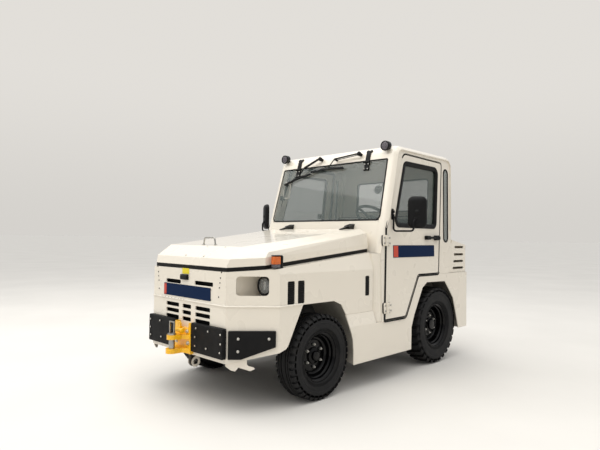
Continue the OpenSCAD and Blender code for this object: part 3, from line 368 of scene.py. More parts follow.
class Tree:
    """Small helper round a node tree."""

    def __init__(self, tree):
        self.tree = tree

    def new(self, kind, inputs=None, **settings):
        node = self.tree.nodes.new(kind)
        for k, v in settings.items():
            setattr(node, k, v)
        for k, v in (inputs or {}).items():
            self.link(v, node.inputs[k])
        return node

    def link(self, value, socket):
        if isinstance(value, bpy.types.NodeSocket):
            self.tree.links.new(value, socket)
        else:
            socket.default_value = value

    def ramp(self, value, stops, blend="LINEAR"):
        node = self.new("ShaderNodeValToRGB", {"Fac": value})
        node.color_ramp.interpolation = blend
        while len(node.color_ramp.elements) < len(stops):
            node.color_ramp.elements.new(0.5)
        for e, (pos, c) in zip(node.color_ramp.elements, stops):
            e.position = pos
            e.color = colour(c)
        return node.outputs["Color"]

    def mix(self, fac, a, b):
        node = self.new("ShaderNodeMix", data_type="RGBA")
        self.link(fac, node.inputs[0])
        self.link(a, node.inputs[6])
        self.link(b, node.inputs[7])
        return node.outputs[2]

    def range(self, value, a, b, c=0.0, d=1.0):
        return self.new(
            "ShaderNodeMapRange", {"Value": value, "From Min": a, "From Max": b, "To Min": c, "To Max": d}
        ).outputs["Result"]

    def math(self, op, a, b=0.5):
        node = self.new("ShaderNodeMath", operation=op)
        self.link(a, node.inputs[0])
        self.link(b, node.inputs[1])
        return node.outputs[0]


class Nodes(Tree):
    """Nodes of one new material, measured in the piece's own space."""

    def __init__(self, name):
        self.material = bpy.data.materials.new(name)
        self.material.use_nodes = True
        super().__init__(self.material.node_tree)
        self.bsdf = self.tree.nodes["Principled BSDF"]
        self.place = self.new("ShaderNodeTexCoord").outputs["Object"]

    def noise(self, scale, detail=3, rough=0.5, stretch=None):
        place = self.place
        if stretch:
            place = self.new("ShaderNodeMapping", {"Vector": place, "Scale": stretch}).outputs[0]
        return self.new(
            "ShaderNodeTexNoise", {"Vector": place, "Scale": scale, "Detail": detail, "Roughness": rough}
        ).outputs["Fac"]

    def height(self):
        return self.new("ShaderNodeSeparateXYZ", {"Vector": self.place}).outputs["Z"]

    def bump(self, value, strength, distance, normal=None):
        inputs = {"Height": value, "Strength": strength, "Distance": distance}
        if normal is not None:
            inputs["Normal"] = normal
        return self.new("ShaderNodeBump", inputs).outputs["Normal"]

    def round_edges(self, radius):
        return self.new("ShaderNodeBevel", {"Radius": radius}, samples=4).outputs["Normal"]

    def set(self, **sockets):
        for k, v in sockets.items():
            self.link(v, self.bsdf.inputs[k.replace("_", " ")])
        return self.material


def rgb(r, g, b):
    """A colour picked in display values, as the linear colour that the shader takes."""
    return tuple(((c / 255 + 0.055) / 1.055) ** 2.4 if c > 10 else c / 255 / 12.92 for c in (r, g, b))


def colour(c):
    return (*c, 1)


def painted(name, c, rough=0.28, coat=0.5, dirt=0.12, edge=0.003, wear=0.0, peel=0.02, shine=0.5):
    """Sprayed paint: slight tone changes, road dust low down, orange peel and soft edges."""
    n = Nodes(name)
    tone = n.ramp(n.noise(1.7, 2), [(0.1, tuple(v * 0.97 for v in c)), (0.9, c)])
    dust_mask = n.math("MULTIPLY", n.range(n.height(), 0.62, 0.16), n.range(n.noise(9, 5, 0.65), 0.35, 0.75))
    base = n.mix(n.math("MULTIPLY", dust_mask, dirt), tone, colour(rgb(134, 120, 102)))
    if wear:
        point = n.new("ShaderNodeNewGeometry").outputs["Pointiness"]
        chips = n.math("MULTIPLY", n.range(point, 0.52, 0.56), n.range(n.noise(70, 4, 0.7), 0.45, 0.6))
        base = n.mix(n.math("MULTIPLY", chips, wear), base, colour(rgb(92, 78, 66)))
    normal = n.bump(n.noise(190, 2), peel, 0.0006, n.round_edges(edge) if edge else None)
    roughness = n.range(n.noise(5, 2), 0.1, 0.9, rough * 0.92, rough * 1.08)
    return n.set(
        Base_Color=base, Roughness=roughness, Coat_Weight=coat, Coat_Roughness=0.06, Normal=normal,
        Specular_IOR_Level=shine,
    )


def rubbery(name, c, rough=0.62, grain=220, strength=0.18, dust=0.25, edge=0.002):
    """Moulded rubber or plastic with a fine grain and pale dust in it."""
    n = Nodes(name)
    tone = n.ramp(n.noise(12, 4, 0.6), [(0.3, tuple(v * 0.8 for v in c)), (0.7, tuple(v * 1.15 for v in c))])
    grey = n.math("MULTIPLY", n.range(n.noise(4, 5, 0.7), 0.45, 0.8), dust)
    base = n.mix(grey, tone, colour(rgb(112, 106, 98)))
    normal = n.bump(n.noise(grain, 3, 0.6), strength, 0.0008, n.round_edges(edge) if edge else None)
    roughness = n.range(n.noise(15, 3), 0.3, 0.7, rough * 0.9, min(1, rough * 1.12))
    return n.set(Base_Color=base, Roughness=roughness, Normal=normal, Specular_IOR_Level=0.2)


def metallic(name, c, rough=0.3, brushed=True, wear=0.3):
    """Bare or plated steel with fine scratches and duller patches."""
    n = Nodes(name)
    tone = n.ramp(n.noise(26, 4, 0.6), [(0.3, tuple(v * 0.72 for v in c)), (0.7, c)])
    scratches = n.noise(60, 4, 0.6, stretch=(1, 1, 14) if brushed else None)
    normal = n.bump(scratches, 0.12, 0.0004, n.round_edges(0.0008))
    roughness = n.range(n.noise(18, 4, 0.6), 0.3, 0.7, rough * (1 - wear), rough * (1 + wear))
    return n.set(Base_Color=tone, Metallic=1.0, Roughness=roughness, Normal=normal)


def glass(name, tint, alpha):
    """Tinted flat glass: a see-through dark layer with a clear reflection and a little dust."""
    n = Nodes(name)
    haze = n.range(n.noise(3, 5, 0.65), 0.35, 0.8)
    base = n.mix(n.math("MULTIPLY", haze, 0.25), colour(tint), colour(rgb(150, 150, 145)))
    roughness = n.range(haze, 0, 1, 0.02, 0.07)
    n.material.blend_method = "BLEND"
    return n.set(
        Base_Color=base, Alpha=alpha, Roughness=roughness, IOR=1.5, Coat_Weight=1.0, Coat_Roughness=0.02
    )


def lens(name, c, alpha, coat=1.0):
    """Moulded lamp lens with fine prisms on its inside."""
    n = Nodes(name)
    wave = n.new("ShaderNodeTexWave", {"Vector": n.place, "Scale": 420}, bands_direction="Z").outputs["Fac"]
    base = n.ramp(n.noise(30, 2), [(0.35, tuple(v * 0.8 for v in c)), (0.65, c)])
    return n.set(
        Base_Color=base, Roughness=0.12, Normal=n.bump(wave, 0.35, 0.0012), Alpha=alpha,
        Coat_Weight=coat, Coat_Roughness=0.03,
    )


def tyre_rubber():
    n = Nodes("tyre_rubber")
    tone = n.ramp(n.noise(9, 5, 0.6), [(0.3, rgb(13, 13, 14)), (0.7, rgb(21, 21, 22))])
    dust = n.range(n.noise(6, 6, 0.75), 0.5, 0.85, 0, 0.22)
    base = n.mix(dust, tone, colour(rgb(74, 68, 60)))
    normal = n.bump(n.noise(160, 4, 0.65), 0.25, 0.001)
    return n.set(Base_Color=base, Roughness=0.68, Normal=normal, Specular_IOR_Level=0.3)


def arch_lining():
    """Sprayed lining of the wheel arches, paler low down: pale mud, and painted light where light falls into
    the lower arch.
    """
    n = Nodes("liner_coat")
    tone = n.ramp(n.noise(12, 4, 0.6), [(0.3, rgb(126, 122, 114)), (0.7, rgb(143, 139, 130))])
    # Mixed paler towards the bottom: partly pale mud, partly painted light on the lit lower arch, leaving the
    # upper inside darker as painted shade.
    mud_and_light = n.math("MULTIPLY", n.range(n.height(), 0.6, 0.34), n.range(n.noise(7, 5, 0.65), 0.25, 0.6))
    base = n.mix(mud_and_light, tone, colour(rgb(172, 166, 154)))
    normal = n.bump(n.noise(90, 3, 0.6), 0.4, 0.001)
    return n.set(Base_Color=base, Roughness=0.85, Normal=normal, Specular_IOR_Level=0.3)


def vinyl():
    n = Nodes("seat_vinyl")
    cells = n.new("ShaderNodeTexVoronoi", {"Vector": n.place, "Scale": 420}).outputs["Distance"]
    tone = n.ramp(n.noise(14, 3), [(0.3, rgb(30, 30, 32)), (0.7, rgb(46, 46, 48))])
    return n.set(Base_Color=tone, Roughness=0.5, Normal=n.bump(cells, 0.25, 0.0008), Coat_Weight=0.1)


def floor_mat():
    n = Nodes("floor_mat")
    wave = n.new("ShaderNodeTexWave", {"Vector": n.place, "Scale": 28}, bands_direction="Y").outputs["Fac"]
    tone = n.ramp(n.noise(10, 4), [(0.3, rgb(40, 40, 40)), (0.7, rgb(62, 60, 57))])
    return n.set(Base_Color=tone, Roughness=0.8, Normal=n.bump(wave, 0.6, 0.002))


paint = painted("body_paint", rgb(229, 221, 206), edge=0.004, dirt=0.03)
dark_paint = painted("dark_paint", rgb(22, 22, 22), rough=0.5, coat=0.0, dirt=0.4, shine=0.3)
liner_coat = arch_lining()
black_paint = painted(
    "black_paint", rgb(13, 13, 14), rough=0.42, coat=0.08, dirt=0.05, edge=0.0015, shine=0.35
)
black_plastic = rubbery("black_plastic", rgb(7, 7, 8), rough=0.5, grain=420, strength=0.12, dust=0.02)
black_rubber = rubbery("black_rubber", rgb(9, 9, 10), rough=0.6, dust=0.03)
seal_rubber = rubbery(
    "seal_rubber", rgb(10, 10, 10), rough=0.55, grain=300, strength=0.08, dust=0.03, edge=0.001
)
yellow_paint = painted(
    "yellow_paint", rgb(252, 190, 4), rough=0.35, coat=0.3, dirt=0.03, wear=0.12, edge=0.002
)
rim_paint = painted("rim_paint", rgb(2, 2, 3), rough=0.22, coat=0.1, dirt=0.0, edge=0.0012, shine=0.15)
steel = metallic("steel", rgb(178, 176, 170), rough=0.36)
zinc = metallic("zinc", rgb(205, 203, 196), rough=0.28, brushed=False)
nut_zinc = metallic("nut_zinc", rgb(196, 194, 188), rough=0.3, brushed=False)
# Chrome darkened for the headlamp bowls: a painted dark reflection of the lamp's recess.
chrome_dark_reflection = metallic("chrome_dark_reflection", rgb(120, 120, 122), rough=0.12, brushed=False, wear=0.1)
chrome = metallic("chrome", rgb(225, 226, 228), rough=0.08, brushed=False, wear=0.15)
iron = painted("engine_iron", rgb(84, 86, 88), rough=0.6, coat=0, dirt=1.0)
tinted = glass("tinted_glass", rgb(122, 134, 131), 0.25)
side_glass = glass("side_glass", rgb(84, 98, 92), 0.42)
pale_glass = glass("pale_glass", rgb(150, 156, 150), 0.6)
clear_glass = glass("clear_glass", rgb(200, 205, 205), 0.22)
orange_lens = lens("orange_lens", rgb(216, 100, 4), alpha=0.97, coat=0.25)
smoke_lens = lens("smoke_lens", rgb(92, 86, 92), alpha=0.8)
red_lens = lens("red_lens", rgb(176, 20, 16), alpha=0.95)
tyre = tyre_rubber()
seat_cover = vinyl()
mat_ribs = floor_mat()
dash_plastic = rubbery("dash_plastic", rgb(112, 112, 108), rough=0.6, grain=380, strength=0.2, dust=0.1)
navy = painted("navy_plate", rgb(4, 30, 64), rough=0.5, coat=0.0, dirt=0.0, edge=0.001, shine=0.08)
tile_red = painted("tile_red", rgb(196, 58, 26), rough=0.4, coat=0.1, dirt=0.03, edge=0.001)
# White of the bar in each headlamp: a painted highlight.
lamp_highlight_white = painted("lamp_highlight_white", rgb(236, 236, 232), rough=0.2, coat=0.6, dirt=0.0, edge=0.001)
tag_yellow = painted("tag_yellow", rgb(226, 206, 24), rough=0.4, coat=0.2, dirt=0.1, edge=0.001)

NODE_FINISH = [
    (paint, "front_shell lower_body rear_deck cab_frame cab_cowl cab_roof "
     "door_left door_right door_hinges hood"),
    (dark_paint, "chassis_frame front_axle rear_axle knuckle_left knuckle_right"),
    (black_paint, "windshield_fittings roof_lamps hood_hinges hood_hinge_leaves headlamps"),
    (black_plastic, "door_fittings_left door_fittings_right side_vents steering_wheel"),
    (rim_paint, "front_rim_left front_rim_right rear_rim_left rear_rim_right"),
    (tyre, "front_tyre_left front_tyre_right rear_tyre_left rear_tyre_right"),
    (steel, "hood_handle front_coupling_pin rear_coupling_pin"),
    (side_glass, "door_glass_left door_glass_right"),
    (tinted, "cab_glasses"), (liner_coat, "wheel_liners"), (mat_ribs, "cab_floor"),
    (seal_rubber, "hood_seal"), (black_rubber, "rubber_bumpers"), (yellow_paint, "couplings"),
    (orange_lens, "turn_lamps"), (red_lens, "tail_lamps"), (dash_plastic, "dashboard"),
    (seat_cover, "seats"), (iron, "engine_block"),
]
for finish, node_names in NODE_FINISH:
    for node_name in node_names.split():
        for material_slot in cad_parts[node_name].material_slots:
            material_slot.material = finish


# Front of the body

BUMPER_FACE_X = NOSE_X + 30
BUMPER_Z = (352, 548)
BUMPER_BOLTS = [
    (299, 514), (280, 398), (433, 511), (435, 451), (429, 394), (161, 517), (151, 457), (153, 397)
]
CORNER_BOLTS = [(84.7, 485.7), (281.3, 485.7), (84.1, 406)]
CORNER_FACE = 20
SEAM_RIVETS = [(395, 905), (385, 868), (380, 836), (375, 804), (369, 743)]
CREASE_RIVETS = [-321, -275, -231, -187, -144, -101, -65, -29]
REAR_BUMPER_X = -2160
REAR_BUMPER_BOLTS = [(150, 510), (150, 390), (380, 510), (380, 390), (610, 510), (610, 390)]
# Rear edge of the front arch below the crease, as the solid has it and as the photograph shows it
ARCH_CAD = [(-342, 198), (-342, 372), (-328, 476), (-326, 480)]
ARCH_PHOTO = [(-318, 198), (-317, 300), (-309, 385), (-291, 434), (-270, 480)]


def forward_at(x, y, z):
    return facing(x, y, z, (1, 0, 0))


def make_bolts():
    """Bolts of the bumpers, each in a round recess."""
    seats, heads = Shape(), Shape()

    def bolt(m, floor, r, h):
        seats.lathe(m, [(16, -0.5), (16, 1.5), (14, 2), (11, floor), (0, floor)], 24)
        heads.hex_bolt(m, r, h)

    for s in (LEFT, RIGHT):
        for y, z in BUMPER_BOLTS:
            bolt(forward_at(BUMPER_FACE_X, s * y, z), -0.2, 7.5, 3.5)
        for along, z in CORNER_BOLTS:
            bolt(shift(on_chamfer(s), along, z, CORNER_FACE), 0.4, 10, 6)
        for y, z in REAR_BUMPER_BOLTS:
            bolt(facing(REAR_BUMPER_X, s * y, z, (-1, 0, 0)), -0.2, 7.5, 3.5)
    finish_mesh("bumper_bolt_seats", seats, seal_rubber, "body")
    finish_mesh("bumper_bolts", heads, zinc, "body")


def make_bumpers():
    """Rubber bumpers with softened edges and moulded end bevels."""
    blocks = Shape()
    for s in (LEFT, RIGHT):
        front = axes(mm(0, 0, 0), (0, s, 0), Z, X)
        blocks.prism(front, round_rect(100, 455, *BUMPER_Z, 8), NOSE_X + 0.3, BUMPER_FACE_X, chamfer=4)
        corner = rounded([(20, 353), (104, 353), (326, 432), (326, 534), (20, 534)], 5, 3)
        blocks.prism(on_chamfer(s), corner, 0.3, CORNER_FACE, chamfer=3)
        rear = axes(mm(0, 0, 0), (0, -s, 0), Z, (-1, 0, 0))
        blocks.prism(rear, round_rect(-668, -100, *BUMPER_Z, 8), 0.3 - REAR_X, -REAR_BUMPER_X, chamfer=4)
    blocks = finish_mesh("bumper_blocks", blocks, black_rubber, "body")
    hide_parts("rubber_bumpers")


def make_front_plates():
    """Bare plate with a tile, bare yellow tag, latch and rivets on the nose."""
    plate, tile, tag, latch, rivets = Shape(), Shape(), Shape(), Shape(), Shape()
    m = forward_at(NOSE_X, 0, 0)
    plate.prism(m, round_rect(-297, 281, 707, 794, 4), 0.3, 3.5, chamfer=0.8)
    tile.prism(m, round_rect(-293, -262, 711, 790, 3), 3.3, 4.3, chamfer=0.4)
    tag.prism(m, round_rect(-60, 25, 872, 912, 3), 0.3, 2.5, chamfer=0.5)
    latch.prism(m, round_rect(-72, 18, 831, 868, 5), 0.3, 14, chamfer=3)
    latch.prism(m, round_rect(-66, 12, 838, 861, 4), 10, 18, chamfer=2)
    for s in (LEFT, RIGHT):
        for y, z in SEAM_RIVETS:
            rivets.dome_bolt(forward_at(NOSE_X, s * y, z), 5, 3)
    for y in CREASE_RIVETS:
        rivets.dome_bolt(forward_at(NOSE_X + 4, y, 690), 3.4, 2)
    for y, z in ((-287, 717), (-287, 784), (271, 717), (271, 784)):
        rivets.dome_bolt(forward_at(NOSE_X + 3.5, -y, z), 3.5, 2)
    finish_mesh("front_plate", plate, navy, "body")
    finish_mesh("front_plate_tile", tile, tile_red, "body")
    finish_mesh("hood_latch_tag", tag, tag_yellow, "body")
    finish_mesh("hood_latch", latch, black_plastic, "body")
    finish_mesh("nose_rivets", rivets, black_paint, "body")


def make_body_trim():
    """Belt moulding, radiator screen, and the edge plates that finish the front arch at its rear."""
    belt = Shape()
    path = [(202, -FENDER_HALF), (CORNER_X, -FENDER_HALF), (NOSE_X, -NOSE_HALF)]
    path += [(x, -y) for x, y in path[::-1]]
    belt.sweep(level(), path, [(0.2, 684.6), (6.5, 684.6), (7, 686), (6, 688.5), (0.2, 696)], closed=False)
    finish_mesh("belt_moulding", belt, paint, "body", sharp=20)
    screen = Shape()
    m = forward_at(NOSE_X - 38, 0, 0)
    screen.prism(m, round_rect(-455, 455, 530, 862, 3), 0, 4)
    for k in range(60):
        y = -448 + k * 15.2
        screen.box(m, y, y + 5, 532, 860, 3.5, 9)
    finish_mesh("radiator_screen", screen, black_plastic, "body")
    # The plates stand upright up to the crease, then lean in with the fender
    edge = Shape()
    upright, leaning, top_z = (704, 712), (668, 680), 569.7
    corners = [
        (ARCH_PHOTO[-1], upright), (ARCH_CAD[-1], upright), ((-268, top_z), leaning), ((-262, top_z), leaning)
    ]
    for s in (LEFT, RIGHT):
        m = axes(mm(0, 0, 0), X, Z, (0, s, 0))
        edge.prism(m, ARCH_PHOTO + ARCH_CAD[::-1], *upright)
        points = [(x, s * y, z) for (x, z), depth in corners for y in depth]
        faces = [[0, 2, 4, 6], [1, 3, 5, 7], [0, 1, 3, 2], [2, 3, 5, 4], [4, 5, 7, 6], [6, 7, 1, 0]]
        edge.shell(level(), points, faces)
    finish_mesh("arch_edge_plates", edge, paint, "body")


LAMP = (442, 556, 816)
LAMP_R = 66


def make_headlamps():
    """Ring with screws, faceted bowl, a white bar that is the lamp's painted highlight, and glass, all at the
    front of the lamp's recess.
    """
    ring, bowl, glass_disc, highlight_bar = Shape(), Shape(), Shape(), Shape()
    rim = [(0, -6), (1, 0), (-1, 6), (-6, 8), (-14, 3), (-14, -6)]
    for s in (LEFT, RIGHT):
        m = forward_at(LAMP[0], s * LAMP[1], LAMP[2])
        ring.lathe(m, [(LAMP_R + r, z) for r, z in rim], 48, closed=True)
        for k in range(8):
            a = 2 * math.pi * k / 8
            ring.dome_bolt(shift(m, 60.5 * math.cos(a), 60.5 * math.sin(a), 6), 3, 2)
        for k in range(12):
            turns = [2 * math.pi * i / 12 for i in (k, k + 1)]
            facet = [(0.2, -11), (LAMP_R - 14.5, 0.5)]
            points = [(r * math.cos(a), r * math.sin(a), z) for r, z in facet for a in turns]
            points += [(x, y, z - 3) for x, y, z in points]
            faces = [[0, 1, 3, 2], [4, 5, 7, 6], [0, 1, 5, 4], [2, 3, 7, 6], [0, 2, 6, 4], [1, 3, 7, 5]]
            bowl.shell(m, points, faces)
        # White bar in the middle of the bowl: painted highlight of the lamp.
        highlight_bar.prism(m, round_rect(-7, 7, -27, 27, 4), -9, 0.5, chamfer=2)
        glass_disc.lathe(m, [(LAMP_R - 14, 2), (LAMP_R - 18, 4), (34, 6), (16, 7), (0, 7.2)], 48)
    finish_mesh("headlamp_rings", ring, black_plastic, "body")
    # Bowls in darkened chrome: painted dark reflection.
    finish_mesh("headlamp_bowls", bowl, chrome_dark_reflection, "body", sharp=5)
    finish_mesh("headlamp_highlight_bars", highlight_bar, lamp_highlight_white, "body")
    finish_mesh("headlamp_lenses", glass_disc, clear_glass, "body")


def make_turn_lamps():
    """Amber lens above a smoked one in front of a black block, with a cap and a foot."""
    lo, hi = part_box("turn_lamps")
    amber, smoke, black = Shape(), Shape(), Shape()
    x0, x1, y0, y1 = 366, 450, 622, 660
    z0, z1 = lo.z * 1000, hi.z * 1000
    for s in (LEFT, RIGHT):
        m = level(s)
        amber.prism(m, round_rect(x0 + 26, x1, y0 + 1, y1, 7), z0 + 26, z1 - 7, chamfer=5)
        smoke.prism(m, round_rect(x0 + 27, x1 - 1, y0 + 2, y1 - 1, 7), z0 + 4, z0 + 25.5, chamfer=1)
        black.prism(m, round_rect(x0, x0 + 26, y0, y1 - 1, 11), z0, z1 - 1, chamfer=7)
        black.prism(m, round_rect(x0 + 8, x1 - 2, y0, y1 - 2, 6), z1 - 8, z1, chamfer=2)
        black.prism(m, round_rect(x0, x1, y0 + 2, y1 - 2, 5), z0, z0 + 4, chamfer=1)
    black = finish_mesh("turn_lamp_bases", black, black_plastic, "body")
    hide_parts("turn_lamps")
    finish_mesh("turn_lamp_amber", amber, orange_lens, "body")
    finish_mesh("turn_lamp_clear", smoke, smoke_lens, "body")


def make_coupling_hardware():
    """Bolts and lock tube of both couplings, and painted rings on the faces of the tow eye."""
    bolts, lock, eye = Shape(), Shape(), Shape()
    for face_x, way in ((NOSE_X + 28.3, 1), (REAR_X - 28.3, -1)):
        for y, z in ((58, 482), (-58, 350), (58, 350), (70, 403), (-70, 403)):
            bolts.hex_bolt(facing(face_x, y, z, (way, 0, 0)), 12, 9, washer=15)
        m = axes(mm(face_x + way * 41.7, 0, 0), (way, 0, 0), (0, way, 0), Z)
        lock.tube(m, [(0, -10, 492.5), (0, 67, 492.5)], 15, 20)
        lock.tube(m, [(0, -14, 492.5), (0, 71, 492.5)], 8, 16)
    washer = [(18.5, 0), (37.5, 0), (37.5, 1), (36.5, 1.6), (19.5, 1.6), (18.5, 1)]
    for s in (LEFT, RIGHT):
        eye.lathe(facing(600, s * 20.2, 254, (0, s, 0)), washer, 32, closed=True)
    finish_mesh("coupling_bolts", bolts, zinc, "body")
    finish_mesh("coupling_pin_locks", lock, yellow_paint, "body")
    finish_mesh("tow_eye_faces", eye, paint, "body")


# Hood


def make_hood_details():
    """Screws of the hood's front slope, and its handle of bent round bar."""
    bolts, bow = Shape(), Shape()
    slope = Vector((80, 0, 113)).normalized()
    for y, x, z in ((56, 545, 1066), (266, 545, 1066), (-79, 634, 1001), (140, 634, 1001)):
        bolts.dome_bolt(facing(x, y, z, slope), 6, 4)
    finish_mesh("hood_bolts", bolts, zinc, "hood")
    foot_x, foot_y, foot_z = 486, 72, 1071 + (540 - 486) * 144 / 1168
    half = [(foot_x, -foot_y, foot_z + 0.5), (foot_x, -60, foot_z + 52)]
    bow.tube(level(), smooth_path(half + [(x, -y, z) for x, y, z in half[::-1]], 16), 5.5, 14)
    for y in (-foot_y, foot_y):
        bow.lathe(facing(foot_x, y, foot_z, (0.12, 0, 1)), [(12, 0.3), (12, 2), (10, 3), (5, 3)], 20)
    bow = finish_mesh("hood_bow_handle", bow, steel, "hood")
    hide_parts("hood_handle")


# Cab

WINDOW = [(-1028, 1791), (-1577, 1791), (-1527, 1250), (-864, 1250)]
WINDOW_R = [46, 50, 46, 50]
QUARTER_MID = (-1727, 1461)
QUARTER = (64, 668)
GASKET = [(16, -22), (16, 3), (11, 7), (-14, 6), (-22, 0), (-24, -12), (-24, -22)]
QUARTER_GASKET = [(16, -5), (16, 2), (13, 4), (3, 4), (0, 0), (-1, -20), (9, -20)]
DOOR = [(-706, 490), (-1005, 490), (-1215, 830), (-1564, 830), (-1656, 1853), (-1014, 1862), (-746, 1216)]
DOOR_R = [6, 40, 40, 14, 24, 60, 60]
HINGE_X = -720
HINGE_Z = (585, 1124)


def quarter_at(s):
    """Quarter window: local frame in its middle, leaning with the rear of the cab."""
    middle = shift(on_side(s), QUARTER_MID[0], up_side(QUARTER_MID[1]))
    return middle @ Matrix.Rotation(REAR_LEAN, 4, "Z")


def quarter_outline(d):
    w, h = QUARTER[0] / 2 - d, QUARTER[1] / 2 - d
    return round_rect(-w, w, -h, h, w - 1, 8)


def side_outline(points, radii):
    return rounded([(x, up_side(z)) for x, z in points], radii, 6)


def make_window_gaskets():
    for name, s in SIDES:
        door, quarter = Shape(), Shape()
        door.sweep(on_side(s), side_outline(WINDOW, WINDOW_R), GASKET)
        finish_mesh(f"door_gasket_{name}", door, seal_rubber, f"{name}_door")
        quarter.sweep(quarter_at(s), quarter_outline(0), QUARTER_GASKET)
        finish_mesh(f"quarter_gasket_{name}", quarter, seal_rubber, "body")


def make_door_seals():
    """Black strips on both edges of the door gap and a black backing behind it, painted shade that makes the
    gap line wide and dark, and a painted lip on the slope.
    """
    for name, s in SIDES:
        m = on_side(s)
        # Seven points a corner, clockwise. The slope runs from the sixth corner to the seventh.
        edge = side_outline(DOOR, DOOR_R)
        start = tuple(Vector(edge[42]).lerp(Vector(edge[41]), 0.09))
        paths = (edge, [start] + edge[42:] + edge[:28], edge[27:42], [edge[41], start])
        outline, front, back, slope = (path[::-1] for path in paths)
        on_body, on_door, lip = Shape(), Shape(), Shape()
        # Black strips on the body and on the door along the gap: painted shade widening the gap's dark line.
        for path, wide, thick, top, foot in ((front, 20, 1.6, -5.4, -6), (back, 12, 1.4, -1.6, -2)):
            strip = [(7.2, -36), (7.2, 0.4), (7.6, 2.2), (wide - 0.6, 2.2), (wide, 0.3), (9, 0.2), (9, -36)]
            on_body.sweep(m, path, strip, closed=False)
            strip = [(0, -34), (0.2, 0.4), (-0.4, thick), (top, thick), (foot, 0.3), (-1, 0.2), (-1, -34)]
            on_door.sweep(m, path, strip, closed=False)
        # Black backing behind the gap: painted shade, so the gap looks dark.
        on_body.sweep(m, outline, [(24, -44.5), (24, -38.4), (8, -38.4), (4, -42), (-9, -42), (-9, -44.5)])
        lip.sweep(m, slope, [(0.1, -20), (-1, 0.6), (1, 1.4), (5, 1.4), (6, 0.6), (6.2, -20)], closed=False)
        finish_mesh(f"door_frame_seal_{name}", on_body, seal_rubber, "body")
        finish_mesh(f"door_edge_seal_{name}", on_door, seal_rubber, f"{name}_door")
        finish_mesh(f"door_edge_lip_{name}", lip, paint, f"{name}_door")


def make_windshield_trim():
    """Thin dark edge seal round the windshield, and the divider and seal of the rear window."""
    low, high, low_half, high_half = 2, 2 + (1812 - 1293) / math.cos(SCREEN_LEAN), 640, 622
    seal, rear = Shape(), Shape()
    corners = [(-low_half, low), (low_half, low), (high_half, high), (-high_half, high)]
    profile = [(4, -3), (4, 3), (0, 5), (-6, 3.5), (-6, 0.4)]
    seal.sweep(on_screen(), rounded(corners, [42, 42, 10, 10], 6), profile)
    m, middle = on_rear(), 764
    profile = [(13, -25), (13, 3), (8, 6), (-8, 5), (-13, 0), (-13, -25)]
    rear.sweep(m, round_rect(-450, 450, middle - 165, middle + 165, 40, 6), profile)
    rear.box(m, -9, 9, middle - 164, middle + 164, -20, 4, chamfer=3)
    finish_mesh("windshield_seal", seal, seal_rubber, "body")
    finish_mesh("rear_window_seal", rear, seal_rubber, "body")


def make_hinge_bolts():
    """Lobed covers of the door hinges on slightly larger black pads that paint a shadow line round each
    cover, with their barrels and bolts.
    """
    post, bolts, pads = Shape(), Shape(), Shape()
    for name, s in SIDES:
        door, door_bolts, door_shadow_pads = Shape(), Shape(), Shape()
        side = on_side(s)
        for z in HINGE_Z:
            at = up_side(z)
            for pad, cover, pad_x, cover_x in (
                (door_shadow_pads, door, (-779, -743), (-776, -746)), (pads, post, (-703, -671), (-704, -674))
            ):
                # Black pad under each cover: painted shadow line round it.
                pad.prism(side, round_rect(*pad_x, at - 44, at + 44, 15), 0.3, 9, chamfer=1)
                low = 10.2 if cover is door else 10.5
                cover.prism(side, round_rect(*cover_x, at - 40, at + 40, 13), low, 18, chamfer=3)
            door.prism(side, round_rect(-750, -730, at - 12, at + 12, 4), 11, 17, chamfer=2)
            for shape, low, high in ((post, 16, 44), (post, -44, -16), (door, -12.5, 12.5)):
                shape.tube(side, [(HINGE_X, at + low, 14), (HINGE_X, at + high, 14)], 13, 20)
            for dy in (-22, 22):
                bolts.dome_bolt(shift(side, -689, at + dy, 17.8), 8.5, 5)
                door_bolts.dome_bolt(shift(side, -762, at + dy, 17.8), 8.5, 5)
        finish_mesh(f"door_hinge_covers_{name}", door, paint, f"{name}_door")
        finish_mesh(f"door_hinge_bolts_{name}", door_bolts, steel, f"{name}_door")
        finish_mesh(f"door_hinge_pads_{name}", door_shadow_pads, seal_rubber, f"{name}_door")
    finish_mesh("post_hinge_covers", post, paint, "body")
    finish_mesh("post_hinge_bolts", bolts, steel, "body")
    finish_mesh("post_hinge_shadow_pads", pads, seal_rubber, "body")


def make_door_plates():
    """Bare plate with a tile on each door."""
    for name, s in SIDES:
        plate, tile = Shape(), Shape()
        plate.prism(on_side(s), round_rect(-1496, -834, up_side(984), up_side(1086), 3), 0.3, 3, chamfer=0.8)
        tile.prism(on_side(s), round_rect(-904, -838, up_side(988), up_side(1082), 3), 2.8, 3.8, chamfer=0.4)
        finish_mesh(f"door_plate_{name}", plate, navy, f"{name}_door")
        finish_mesh(f"door_plate_tile_{name}", tile, tile_red, f"{name}_door")


MIRROR_MID = (-880, 901, 1354)
MIRROR_TURN = math.radians(29)


